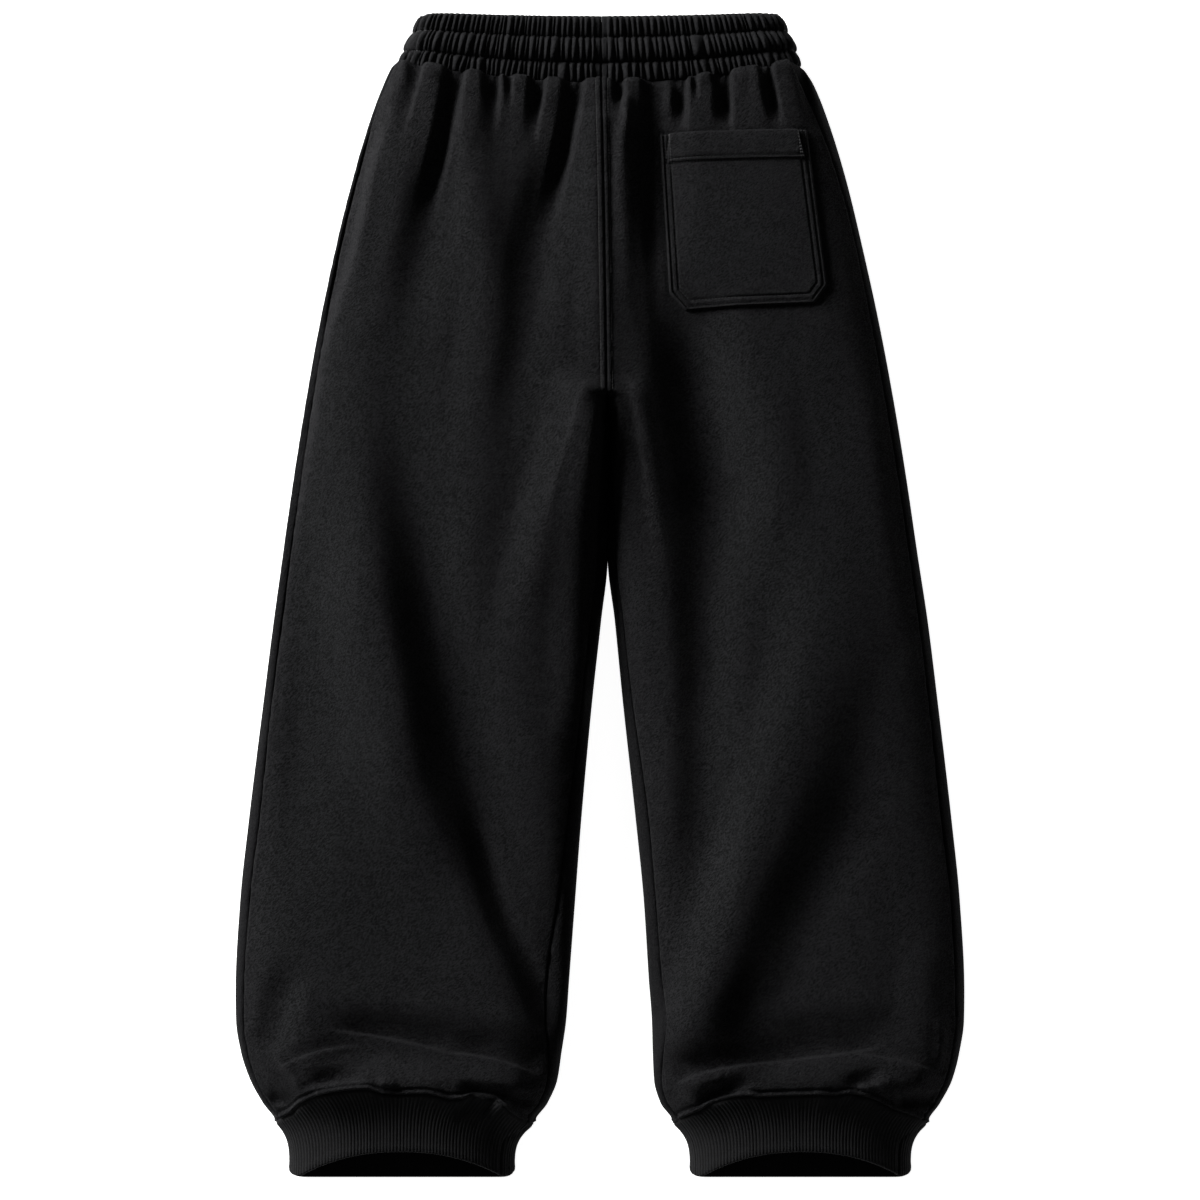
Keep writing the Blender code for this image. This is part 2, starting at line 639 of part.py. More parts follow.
def cuff_place(half, run, height):
    """(across, down, up) on a plain cuff; height is 0 at its seam, 1 at its hem."""
    across, down, up = half.point(run, CUFF_SEAM)
    hem = finish_section(dict(CUFF_HEMS[half.name]))
    if run <= OUTER_SEAM:
        q = hem["in"] + hem["inseam"]
        q += run * (hem["out"] - hem["strip"] - q)
        hem_up = crown(q, hem)
    elif OUTER_EDGE <= run <= INNER_EDGE:
        q, hem_up = lower_place(run, hem)
    else:
        q, hem_up = side_place(run, hem)
    hem_down = LENGTH
    if run < OUTER_EDGE or run > INNER_EDGE:
        reach = min(1.0, abs(q - hem["middle"]) / hem["half"])
        hem_down -= CUFF_HEM_BOW * (1 - reach ** CUFF_HEM_BOW_SHARPNESS)
    drawn = 1 - (1 - height) ** CUFF_DRAW_IN
    seam = down + SEAM_GAP / 2
    return (across + (half.side * q - across) * drawn, seam + (hem_down - seam) * height,
            up + (hem_up - up) * drawn)


def cuff_spot(half, run, height):
    """(point, thickness direction) of the plain cuff."""
    here = cuff_place(half, run, height)
    if height == 0.0:
        return place(*here), half.normal(run, CUFF_SEAM)
    turn = 0.0 if run == INSEAM else run
    small = 0.02
    low, high = max(turn - small, 0.0), turn + small
    if turn == OUTER_SEAM:
        high = turn
    around = place(*cuff_place(half, high, height)) - place(*cuff_place(half, low, height))
    along = (place(*cuff_place(half, turn, min(height + small, 1.0)))
             - place(*cuff_place(half, turn, height - small)))
    if height == 1.0:
        around.y = 0
        along = Vector((0, -1, 0))
    return place(*here), (along.cross(around) * half.side).normalized()


def cuff(half, material):
    """One ribbed tube, open at its seam in line with the inseam."""
    ribs = rib_runs(lambda run: cuff_place(half, run, 0.6), 0.0, CUFF_RIBS)
    below = (steps(OUTER_EDGE, OUTER_FLOOR, 3)[1:] + steps(OUTER_FLOOR, INNER_FLOOR, 3)[1:]
             + steps(INNER_FLOOR, INNER_EDGE, 3)[1:] + steps(INNER_EDGE, INSEAM, 2)[1:])
    lining_runs = steps(0.0, OUTER_SEAM, 12) + steps(OUTER_SEAM, OUTER_EDGE, 3)[1:] + below

    def ring(runs, height, raise_at):
        row = []
        for i, run in enumerate(runs):
            spot, out = cuff_spot(half, run, height)
            if run in (0.0, INSEAM):
                near = cuff_place(half, 0.02 if run == 0.0 else INSEAM - 0.02, height)
                spot += (place(*near) - spot).normalized() * SEAM_GAP / 2 * MM
            row.append((spot + out * raise_at(i) * MM, run))
        return row

    outer, inner = [], []
    for height in (0.0, 0.12, 0.3, 0.6, 1.0):
        outer.append((height, ring(ribs + below, height, lambda i: CUFF_RIB_HEIGHT * (
            i % 2 == 1 and i < 2 * CUFF_RIBS))))
        inner.append((height, ring(lining_runs, height, lambda i: -CUFF_CLOTH)))
    return cloth_object("cuff_" + half.name, outer, inner, material)


# ---------------------------------------------------------------- pocket

def pocket(panel_object, material):
    """Patch with a turned hem, lifted off the facets of the panel below it."""
    facets = BVHTree.FromObject(panel_object, bpy.context.evaluated_depsgraph_get())

    def mix(a, b, t):
        return a[0] + (b[0] - a[0]) * t, a[1] + (b[1] - a[1]) * t

    def panel_height(x, down):
        """Greatest height of the panel within half a mesh step of a place."""
        heights = []
        for side in steps(-POCKET_SPAN, POCKET_SPAN, 6):
            for along in steps(-POCKET_SPAN, POCKET_SPAN, 6):
                hit = facets.ray_cast(place(x + side, down + along, 100), Vector((0, 0, -1)))[0]
                heights.append(hit.z / MM)
        return max(heights)

    def edges_at(share):
        """Left and right ends of the row at a share of the sides, or past 1 of the bevels."""
        if share <= 1:
            return [mix(POCKET_TOP[i], POCKET_SIDE_ENDS[i], share) for i in (0, 1)]
        return [mix(POCKET_SIDE_ENDS[i], POCKET_BOTTOM[i], share - 1) for i in (0, 1)]

    hem = POCKET_HEM / (POCKET_SIDE_ENDS[0][1] - POCKET_TOP[0][1])
    rows = [0.0, hem * 0.5, hem * 0.92, hem] + steps(hem, 1.0, 7)[1:] + [1.5, 2.0]
    outer, inner = [], []
    for share in rows:
        left, right = edges_at(share)
        skin, lining = [], []
        for across in steps(0.0, 1.0, 9):
            x, down = mix(left, right, across)
            bottom = panel_height(x, down) + POCKET_LIFT
            thick = POCKET_CLOTH + (POCKET_HEM_RAISE if share < hem else 0.0)
            lining.append((place(x, down, bottom), across))
            skin.append((place(x, down, bottom + thick), across))
        outer.append((share, skin))
        inner.append((share, lining))
    return cloth_object("pocket_back", outer, inner, material)


def clear_scene():
    for thing in list(bpy.data.objects):
        bpy.data.objects.remove(thing, do_unlink=True)


def main():
    clear_scene()
    fleece = {name: cloth_material("brushed fleece " + name, colour, 0.95) for name, colour in (
        ("back left", (0.013, 0.013, 0.014)), ("back right", (0.013, 0.013, 0.014)),
        ("front left", (0.012, 0.012, 0.013)), ("front right", (0.012, 0.012, 0.013)))}
    band = cloth_material("gathered fleece waistband", (0.012, 0.012, 0.013), 0.95)
    patch = cloth_material("brushed fleece pocket", (0.014, 0.014, 0.015), 0.95)
    backs = {}
    for half in (LEFT, RIGHT):
        backs[half.name] = back_panel(half, fleece["back " + half.name])
        front_panel(half, fleece["front " + half.name])
        cuff(half, cloth_material("rib knit cuff " + half.name, (0.011, 0.011, 0.012), 0.9))
    waistband(band)
    pocket(backs["right"], patch)


main()
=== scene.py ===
"""Looks of the jogger sweatpants: the fine cloth, its sewing and finishes, floor, light and camera.

The garment lies on its front with the back up.  Lengths are millimetres up to the point where a
mesh is made, which is in metres.  A place on a half of the garment is (run, down): `run` goes once
round the half, from the centre back seam or inseam over the top, round the outer side and back
underneath, and `down` is the distance from the waist's edge.  A `nominal` down is the one before
the bowed seams move the top layer.  All unevenness is drawn from seeded generators.
"""

import math

import bmesh
import bpy
import numpy as np
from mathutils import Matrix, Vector


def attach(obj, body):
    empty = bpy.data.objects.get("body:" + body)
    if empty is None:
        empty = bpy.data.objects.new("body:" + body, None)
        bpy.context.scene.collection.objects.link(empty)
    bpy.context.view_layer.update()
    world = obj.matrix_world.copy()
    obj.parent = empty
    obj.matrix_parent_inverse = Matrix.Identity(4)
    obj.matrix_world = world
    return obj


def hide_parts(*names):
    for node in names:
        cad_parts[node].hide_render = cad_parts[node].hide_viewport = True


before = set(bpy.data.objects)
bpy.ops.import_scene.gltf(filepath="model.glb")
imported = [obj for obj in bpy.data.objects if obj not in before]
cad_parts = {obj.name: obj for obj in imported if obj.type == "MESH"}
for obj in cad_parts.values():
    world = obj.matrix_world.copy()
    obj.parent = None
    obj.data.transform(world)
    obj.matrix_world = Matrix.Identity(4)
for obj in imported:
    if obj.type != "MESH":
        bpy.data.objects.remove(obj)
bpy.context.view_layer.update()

MM = 0.001

# Driving dimensions of the cut and of the way that it lies
LENGTH = 1075.0          # waist edge to cuff hem, as it lies
FLEECE = 2.2             # thickness of the heavy fleece
BAND_FLEECE = 4.0        # folded fleece over flat elastic
RIB_CLOTH = 2.6          # two layers of rib knit
SEAM_GAP = 0.3           # between panels that are sewn together
LEG_GAP = -0.2           # the napped inner legs press together below the crotch
BAND_SEAM = 51.0
CROTCH = 372.0
CUFF_SEAM = 1027.0
BAND_SEAM_BOW = 22.5
BOW_REACH = 190.0        # distance from the middle at which the waistband seam stops bowing
WAIST_EDGE_BOW = 9.0
BOW_FADE = 200.0         # length of the panels over which that bow fades
CUFF_SEAM_BOW = 23.0
CUFF_HEM_BOW = 20.5
CUFF_BOW_START = 930.0
WANDER_START = 975.0     # where the straying of the cuff seam starts to draw on the leg
ANKLE_START = 860.0      # where the cloth grows more uneven, towards the cuff
CROTCH_DIVE = 5.0        # length over which the seat's inner edges roll down into the crotch
CROTCH_SHARPNESS = 3

# Stretches of `run`
OUTER_SEAM = 1.0         # 0 to 1 is the back panel
OUTER_EDGE = 2.0         # the widest line of the outer side
OUTER_FLOOR = 3.0        # where the outer side meets the floor
UNDER_MIDDLE = 3.5       # the outer side is before it, the inner side after it
INNER_FLOOR = 4.0        # where the flat underside ends, towards the other half
INNER_EDGE = 5.0         # centre front seam, or the widest line of the leg's inner side
INSEAM = 6.0             # back at the inseam

# Waistband
PUFF_PITCH = 5.7         # mean width of a gather of the shirred tunnels
PUFF_HEIGHT = 4.2
TUNNELS = (              # share of the band where each starts and ends, its swell, how far down
                         # its fullest line lies, how uneven its gathers are, the share of them
                         # that run into the next, and how far they lean
    dict(start=0.0, end=0.31, swell=2.2, full=1.0, uneven=0.20, merged=0.02, lean=0.5),
    dict(start=0.31, end=0.70, swell=5.0, full=1.35, uneven=0.28, merged=0.07, lean=1.2),
    dict(start=0.70, end=1.0, swell=2.4, full=1.0, uneven=0.30, merged=0.05, lean=2.4))
TUNNEL_ROWS = 13
WAIST_WIDTH = 0.905      # of the band at the waist's edge, as a share of its width at the seam
WAIST_HEIGHT = 0.94      # and of its height there
BACK_TAB = 5.5           # nearly plain cloth on each side of the band's join
BAND_JOIN = 0.03         # the band's ends are sewn hard against each other
EDGE_SAG = 3.6           # how far the waist's edge sinks at its sides, where it rolls over
PINCH = 11.0             # how far the gathered seam lies under the tops of the puffs
PUFF_OVERHANG = 6.5      # how far the puffs roll back over the seam, before they stand up from it
UNDER_PUFF = 5.2         # how far the gathers are pressed flat under the band
TONGUE_RISE = 5.5
TONGUE_FROM = -8.25      # gathers that fall further than this hold up a tongue of cloth

# Cuffs
RIB_PITCH = 2.95
RIB_HEIGHT = 0.6
HEM_CORNER = 5.0         # how far the hem draws up where the cuff folds round at its sides
HEM_CORNER_SHARPNESS = 36
HEM_SPAN = 0.9           # share of the cuff's width that the raised hem spans; its sides lie down
CUFF_DRAW_IN = 3.5       # how soon below its seam the cuff takes the shape of its hem
CUFF_HEM_BOW_SHARPNESS = 2.2
CUFF_HEM = dict(out=276.5, tall=46.0, belly=11.0, floor=14.0, round=2.6, round_in=2.6, strip=5.0,
                inseam=5.0)                      # its section, by the columns of SECTIONS below
CUFF_HEM_IN = {"left": 76.5, "right": 80.5}

# Patch pocket, as (across, down)
POCKET_TOP = ((55.3, 124.8), (190.8, 121.0))
POCKET_SIDE_ENDS = ((63.6, 274.7), (207.9, 268.6))
POCKET_BOTTOM = ((78.6, 290.7), (195.8, 285.5))
POCKET_CORNERS = (POCKET_TOP[0], POCKET_SIDE_ENDS[0], POCKET_BOTTOM[0], POCKET_BOTTOM[1],
                  POCKET_SIDE_ENDS[1], POCKET_TOP[1])
POCKET_CLOTH = 2.8
POCKET_LIFT = 0.3        # between the panel and the patch
POCKET_HEM = 27.0        # depth of the turned hem
POCKET_ROWS = (3.3, 8.6)         # topstitching, from the pocket's edge
POCKET_HEM_ROWS = (24.6, 28.0)   # and from its top

# Centre back seam and thread
CENTRE_WELT = 5.2        # width of the topstitched ridge on each side of the centre back seam
CENTRE_WELT_HEIGHT = 0.9
THREAD_LIFT = 0.15       # how far stitches stand above the foot of their groove
BAND_THREAD_LIFT = 0.1
STITCH_SIDES = 6         # facets round a stitch


class Table:
    """Rows of numbers under named columns, read smoothly between the rows."""

    def __init__(self, columns, rows):
        self.names = columns.split()
        self.rows = np.array(rows, float)

    def read(self, name, at):
        spots, values = self.rows[:, 0], self.rows[:, self.names.index(name)]
        rates = np.diff(values) / np.diff(spots)
        slopes = np.zeros(len(values))
        before, after = rates[:-1], rates[1:]
        same_way = before * after > 0
        slopes[1:-1][same_way] = (2 * before * after)[same_way] / (before + after)[same_way]
        at = np.clip(at, spots[0], spots[-1])
        k = np.clip(np.searchsorted(spots, at, side="right") - 1, 0, len(spots) - 2)
        span = spots[k + 1] - spots[k]
        t = (at - spots[k]) / span
        return (values[k] * (2 * t**3 - 3 * t**2 + 1) + values[k + 1] * (3 * t**2 - 2 * t**3)
                + span * (slopes[k] * (t**3 - 2 * t**2 + t) + slopes[k + 1] * (t**3 - t**2)))


def table_of(columns, *rows):
    return [dict(zip(columns.split(), row)) for row in rows]


# One row for each section.  tall is the crown's height, belly the height of the widest line, floor
# the width of the roll under the side, and round and round_in the squareness of the upper outer
# and inner side.  Then, for each half, out and in are the sides' distances from the middle plane,
# in toward the other leg, and strip and inseam the distances of the seams on top from the sides'
# widest lines.
SECTIONS = Table(
    "down tall belly floor round round_in"
    " out.left in.left strip.left inseam.left out.right in.right strip.right inseam.right", (
        (51, 54, 23.5, 24, 7.0, 14, 186, -0.6, 4, 0, 185.5, 0.6, 15, 0),
        (58, 55, 23.5, 24, 6.6, 14, 195, -0.9, 4, 0, 193.0, 0.9, 16, 0),
        (68, 56, 23.5, 23, 6.2, 14, 200.5, -1.2, 4, 0, 199.0, 1.2, 16, 0),
        (103, 57, 23.0, 21, 5.6, 14, 213.5, -2.0, 4, 0, 212.0, 2.0, 13, 0),
        (160, 56, 22.5, 20, 5.2, 14, 229.5, -3.2, 5, 0, 228.3, 3.2, 9, 0),
        (217, 55, 22.0, 19, 5.0, 14, 242.8, -4.2, 5, 0, 241.2, 4.2, 7, 0),
        (300, 54, 21.5, 18, 4.8, 14, 259.0, -5.4, 6, 0, 258.0, 5.4, 8, 0),
        (372, 52, 21.0, 18, 4.6, 30, 270.6, -6.4, 6, 0, 270.3, 6.4, 8, 0),
        (440, 50, 21.0, 18, 4.6, 20, 280.3, -6.9, 7, 6, 280.3, 7.0, 8, 4),
        (515, 48, 20.5, 18, 4.6, 12, 289.8, -6.9, 7, 9, 290.2, 7.1, 8, 7),
        (574, 47, 20.0, 18, 4.6, 8, 297.0, -0.9, 8, 9, 298.3, 13.6, 9, 7),
        (648, 47, 20.0, 18, 4.6, 5, 305.2, 7.2, 8, 9, 306.3, 20.8, 9, 8),
        (757, 48, 20.5, 18, 4.6, 4.6, 316.9, 17.1, 10, 12, 317.3, 32.5, 10, 11),
        (829, 50, 21.5, 19, 4.6, 4.6, 323.4, 22.5, 9, 15, 323.4, 39.5, 9, 10),
        (901, 54, 23.0, 20, 4.6, 4.6, 326.2, 27.8, 8, 20, 326.2, 43.9, 9, 11),
        (937, 57, 24.0, 21, 4.5, 4.5, 325.3, 30.4, 7, 18, 325.3, 46.5, 8, 12),
        (965, 59, 24.0, 22, 4.3, 4.3, 320.5, 34.5, 6, 12, 320.8, 47.2, 7, 9),
        (990, 56, 23.0, 21, 4.0, 4.0, 312.0, 38.5, 5, 8, 313.8, 48.3, 6, 6),
        (1010, 52, 20.0, 18, 3.6, 3.6, 301.0, 47.5, 5, 6, 303.0, 54.0, 5, 5),
        (1027, 50, 16.0, 16, 3.2, 3.2, 289.5, 59.5, 5, 5, 292.0, 65.0, 5, 5)))

# Folds of the top layer: a bent line from one place (across, down) towards a second and on to a
# third, the rise of its crest (or fall, below zero), the widths of its two slopes, which lie to
# the left and right of a line that runs down, or below and above one that runs across, how pointed
# its crest is, and the shares of its length over which it comes and goes
FOLD_COLUMNS = "x0 d0 x1 d1 x2 d2 rise left right point come go"
LEG_FOLDS = table_of(
    FOLD_COLUMNS,
    (-178, 290, -182, 420, -160, 590, -4.5, 44, 52, 1.0, 0.5, 0.5),   # upper end of the valley
    (-166, 372, -157, 704, -28, 940, -9.5, 46, 62, 1.0, 0.5, 0.08),   # long valley, left leg
    (-126, 700, -98, 830, -34, 960, -5.5, 20, 17, 1.0, 0.4, 0.1),     # it deepens to the ankle
    (-112, 76, -104, 300, -112, 560, 5.5, 34, 34, 1.0, 0.1, 0.5),     # broad ridge of the seat
    (-3, 84, -3, 230, -3, 404, 6.5, 26, 40, 1.0, 0.1, 0.5),           # the centre seam's own
    (-8, 345, -44, 420, -74, 700, 12.5, 40, 54, 1.0, 0.15, 0.5),      # ridge from the crotch
    (-13, 356, -38, 400, -56, 520, 1.8, 5, 18, 1.4, 0.1, 0.6),        # its sharp crest
    (-6, 370, -10, 540, -24, 720, 6.0, 32, 9, 1.0, 0.08, 0.3),        # inner edge stands up
    (-212, 340, -214, 640, -130, 850, 13.5, 60, 50, 1.0, 0.4, 0.35),  # broad swell of the calf
    (-258, 400, -274, 620, -266, 840, -6.0, 34, 52, 1.0, 0.35, 0.35),  # shallow trough outside it
    (-262, 884, -284, 938, -300, 975, -6.0, 26, 24, 1.0, 0.4, 0.3),   # hollow, outer ankle
    (-272, 960, -180, 944, -72, 976, -10.0, 44, 42, 1.0, 0.35, 0.3),  # hollow above the crest
    (-134, 958, -90, 964, -40, 976, -5.0, 28, 34, 1.0, 0.4, 0.2),     # deeper by the inner leg
    (96, 984, 196, 952, 290, 966, -9.0, 44, 42, 1.0, 0.3, 0.35),      # the same, right leg
    (-286, 990, -170, 988, -48, 1008, 7.0, 25, 30, 1.0, 0.12, 0.12),  # cloth rolls over, left ankle
    (66, 1010, 190, 990, 304, 996, 7.0, 25, 30, 1.0, 0.12, 0.12),     # and right
    (60, 236, 96, 380, 118, 600, -19.5, 52, 60, 1.0, 0.42, 0.35),     # valley from the seat
    (98, 480, 104, 660, 84, 880, -9.0, 42, 40, 1.0, 0.3, 0.25),       # its follower down the leg
    (26, 350, 40, 430, 60, 540, 3.0, 9, 20, 1.5, 0.15, 0.5),          # ridge from the crotch
    (226, 410, 193, 697, 60, 985, 14.5, 46, 80, 1.0, 0.6, 0.06),      # long ridge, right leg
    (262, 620, 226, 780, 92, 990, -3.5, 46, 50, 1.0, 0.5, 0.12),      # valley outside it
    (150, 890, 118, 945, 86, 992, -4.5, 34, 40, 1.0, 0.5, 0.1),       # deeper by the ankle
    (4, 380, 4, 404, 4, 466, -8.0, 12, 11, 1.0, 0.1, 0.85),           # inner legs roll away
    (4, 380, 4, 470, 6, 600, -16.0, 8, 8, 0.8, 0.04, 0.4),            # into the slot
    (282, 860, 284, 920, 280, 965, 2.0, 26, 26, 1.0, 0.3, 0.3),       # swell, outer calf
    (-196, 84, -266, 280, -304, 700, -9.0, 42, 14, 1.0, 0.12, 0.4),   # outer side falls away
    (232, 300, 262, 470, 276, 620, 2.0, 30, 18, 1.0, 0.3, 0.4),       # faint swells
    (-118, 420, -128, 520, -112, 640, 2.0, 30, 34, 1.0, 0.4, 0.4),
    (150, 330, 172, 420, 176, 540, 2.2, 28, 30, 1.0, 0.4, 0.4),
    (-70, 230, -84, 300, -96, 380, 1.8, 22, 26, 1.0, 0.4, 0.4))

ANKLE_FOLDS = table_of(
    FOLD_COLUMNS,
    (-248, 948, -190, 952, -124, 971, 2.8, 22, 2.2, 1.0, 0.4, 0.2),   # crest, left ankle: a step
    (-248, 945, -190, 949, -124, 968, -2.2, 2.4, 24, 1.0, 0.5, 0.2),  # up out of a hollow
    (-150, 968, -92, 968, -48, 991, 2.8, 22, 2.2, 1.0, 0.3, 0.3),
    (-150, 965, -92, 965, -48, 988, -2.2, 2.4, 24, 1.0, 0.3, 0.3),
    (-292, 986, -252, 962, -200, 962, 1.5, 14, 2.4, 1.0, 0.3, 0.4),   # second one, outer end
    (-292, 983, -252, 959, -200, 959, -1.2, 2.4, 16, 1.0, 0.3, 0.4),
    (-292, 958, -276, 984, -262, 1002, 2.6, 9, 9, 1.4, 0.3, 0.3),
    (62, 999, 96, 980, 172, 976, 2.8, 22, 2.2, 1.0, 0.25, 0.2),       # crest, right ankle
    (62, 996, 96, 977, 172, 973, -2.2, 2.4, 24, 1.0, 0.25, 0.2),
    (146, 978, 222, 971, 258, 962, 2.8, 22, 2.2, 1.0, 0.2, 0.4),
    (146, 975, 222, 968, 258, 959, -2.2, 2.4, 24, 1.0, 0.2, 0.5),
    (214, 970, 262, 971, 304, 988, 1.8, 12, 2.4, 1.0, 0.3, 0.3),      # its outer branch
    (214, 967, 262, 968, 304, 985, -1.4, 2.4, 16, 1.0, 0.3, 0.3),
    (300, 930, 306, 960, 298, 985, 2.4, 10, 10, 1.3, 0.3, 0.3),
    (-272, 998, -238, 990, -192, 988, -6.5, 7, 16, 1.0, 0.45, 0.5),   # tucks, left cuff
    (-130, 998, -96, 1003, -54, 1014, -8.0, 8, 13, 1.0, 0.35, 0.2),
    (-298, 1008, -282, 1005, -268, 1014, -4.0, 8, 10, 1.0, 0.4, 0.4),
    (82, 1012, 108, 1001, 144, 992, -7.0, 8, 15, 1.0, 0.3, 0.45),     # tucks, right cuff
    (208, 996, 232, 994, 258, 986, -5.0, 8, 13, 1.0, 0.45, 0.45),
    (262, 1012, 280, 1008, 298, 1012, -8.0, 7, 12, 1.0, 0.2, 0.15),
    (-196, 1000, -188, 990, -178, 1000, 2.2, 8, 8, 1.2, 0.3, 0.3))

# Deep gathers that run down from the waistband seam between the puffs
YOKE_FOLDS = table_of(
    FOLD_COLUMNS,
    (-166, 58, -171, 84, -190, 150, -8.0, 16, 5, 1.0, 0.0, 0.9),
    (-130, 62, -138, 120, -166, 228, -9.0, 17, 10, 1.0, 0.0, 0.5),
    (-138, 120, -165, 220, -186, 400, -7.5, 34, 38, 1.0, 0.3, 0.6),
    (-97, 67, -96, 96, -102, 136, -9.0, 16, 7, 1.0, 0.0, 0.8),
    (-98, 90, -98, 150, -108, 240, -3.5, 24, 24, 1.0, 0.3, 0.7),
    (-84, 69, -83, 84, -82, 108, -5.0, 7, 5, 1.0, 0.0, 0.8),
    (-53, 71, -56, 96, -64, 150, -10.0, 16, 5, 1.0, 0.0, 0.85),
    (-21, 73, -26, 130, -52, 228, -9.5, 17, 10, 1.0, 0.0, 0.5),
    (-36, 120, -62, 230, -82, 420, -8.0, 32, 36, 1.0, 0.3, 0.6),
    (19, 73, 19, 96, 20, 132, -8.0, 10, 5, 1.0, 0.0, 0.8),
    (49, 72, 46, 180, 58, 350, -7.5, 15, 44, 1.0, 0.0, 0.6),
    (24, 76, 20, 180, 28, 330, 5.5, 14, 20, 1.0, 0.1, 0.6),
    (77, 71, 77, 90, 76, 128, -10.0, 15, 6, 1.0, 0.0, 0.5),
    (88, 70, 88, 80, 89, 104, -4.0, 6, 5, 1.0, 0.0, 0.8),
    (117, 66, 118, 90, 119, 128, -12.0, 18, 6, 1.0, 0.0, 0.5),
    (156, 60, 160, 84, 168, 126, -9.0, 14, 5, 1.0, 0.0, 0.5),
    (186, 54, 192, 80, 206, 134, -8.0, 12, 5, 1.0, 0.0, 0.8),
    (-206, 110, -214, 190, -232, 300, 2.0, 10, 16, 1.2, 0.3, 0.5),
    (-125, 74, -126, 130, -130, 210, 1.8, 6, 16, 1.0, 0.1, 0.6),
    (26, 80, 18, 140, 14, 230, 1.2, 7, 8, 1.0, 0.1, 0.7))

# How far the cuff seam strays down (or up, below zero) from its even bow, at places across
CUFF_SEAM_WANDER = (
    (-285, 0.0), (-272, 0.6), (-259, -2.9), (-244, -5.2), (-222, -5.4), (-200, -4.4), (-190, 0.3),
    (-177, 1.6), (-154, 0.2), (-136, 3.2), (-127, 1.2), (-119, -3.6), (-100, -4.8), (-85, 0.9),
    (-70, 2.6), (0, 0.0), (80, 1.2), (93, 1.8), (106, -1.2), (122, -1.8), (136, -0.9), (144, 1.9),
    (170, 2.5), (204, 1.2), (216, -2.0), (235, -0.8), (247, 1.6), (257, 3.1), (285, 1.2))

# Mesh rows of the panels: stretches of `down` with the spacing of their rows
ROW_STRETCHES = ((51, 64, 0.9), (64, 104, 1.6), (104, 300, 2.7), (300, 372, 2.2), (372, 392, 2.0),
                 (392, 880, 3.4), (880, 945, 2.4), (945, 1012, 1.5), (1012, 1027, 0.9))


def ease(t):
    """0 to 1 with level ends."""
    t = np.clip(t, 0.0, 1.0)
    return t * t * (3 - 2 * t)


# ---------------------------------------------------------------- relief of the top layer

# The plan is a grid of 1 mm cells over the top layer: so far to each side of the middle, and from
# so far above the waist's edge to so far below it
PLAN_SIDE = 345
PLAN_ABOVE = 10
PLAN_END = 1090
PLAN_ACROSS, PLAN_DOWN = np.meshgrid(np.arange(-PLAN_SIDE, PLAN_SIDE + 1.0),
                                     np.arange(-PLAN_ABOVE, PLAN_END + 1.0))

LEG_STRAY = 3.0          # how far the folds of the seat and legs stray from their lines
SEWN_STRAY = 0.25        # the same of the folds that a seam holds
STRAY_ROOM = 14          # cells beyond its slopes that a fold may stray to
FOLD_STEPS = 14          # straight steps that a bent line is followed in


def soften(grid, wide, long):
    """Smooths a grid over the plan, leaving waves that wide and that long, or more."""
    across = np.fft.rfftfreq(grid.shape[1]) * wide
    down = np.fft.fftfreq(grid.shape[0])[:, None] * long
    return np.fft.irfft2(np.fft.rfft2(grid) * np.exp(-(across**2 + down**2) * 2.2), s=grid.shape)


def ripples(seed, wide, long):
    """Seeded unevenness over the plan, of unit strength, with waves that wide and that long."""
    noise = np.random.default_rng(seed).standard_normal(PLAN_ACROSS.shape)
    waves = soften(noise, wide, long)
    return waves / waves.std()


def beside(across, down, start, end):
    """Where places lie beside a straight stretch: the share of its length that they are at, their
    distance from it, and how far they are to one side of its line (below zero on the other)."""
    run_x, run_d = end[0] - start[0], end[1] - start[1]
    off_x, off_d = across - start[0], down - start[1]
    share = np.clip((off_x * run_x + off_d * run_d) / (run_x**2 + run_d**2), 0, 1)
    distance = np.hypot(off_x - share * run_x, off_d - share * run_d)
    return share, distance, (run_x * off_d - run_d * off_x) / math.hypot(run_x, run_d)


def add_fold(relief, fold, across, down):
    """Adds one fold to the relief, over the cells that it reaches."""
    reach = max(fold["left"], fold["right"]) + STRAY_ROOM
    xs, ds = ([fold[axis + place] for place in "012"] for axis in "xd")
    rows, cols = (slice(max(int(min(at) - reach) + first, 0), int(max(at) + reach) + first)
                  for at, first in ((ds, PLAN_ABOVE), (xs, PLAN_SIDE)))
    px, pd = across[rows, cols], down[rows, cols]
    t = np.linspace(0, 1, FOLD_STEPS + 1)
    x, d = ((1 - t)**2 * a + 2 * t * (1 - t) * b + t * t * c for a, b, c in (xs, ds))
    gap, spot, hand = np.full(px.shape, 1e9), np.zeros(px.shape), np.zeros(px.shape)
    for k in range(FOLD_STEPS):
        share, here, side = beside(px, pd, (x[k], d[k]), (x[k + 1], d[k + 1]))
        nearer = here < gap
        gap = np.where(nearer, here, gap)
        spot = np.where(nearer, (k + share) / FOLD_STEPS, spot)
        hand = np.where(nearer, side, hand)
    width = np.where(hand > 0, fold["left"], fold["right"])
    slope = (0.5 + 0.5 * np.cos(np.pi * np.clip(gap / width, 0, 1)))**fold["point"]
    come = ease(spot / fold["come"]) if fold["come"] else 1.0
    relief[rows, cols] += fold["rise"] * slope * come * ease((1 - spot) / fold["go"])


def seam_bow(across):
    """How far the waistband seam lies below its sides, over the top layer."""
    return BAND_SEAM_BOW * np.maximum(0.0, 1 - (across / BOW_REACH)**2)


def outside_pocket(across, down):
    """How far places of the plan lie outside the pocket's outline, or below zero inside it."""
    outside = np.full(across.shape, -1e9)
    for start, end in zip(POCKET_CORNERS, POCKET_CORNERS[1:] + POCKET_CORNERS[:1]):
        outside = np.maximum(outside, beside(across, down, start, end)[2])
    return outside


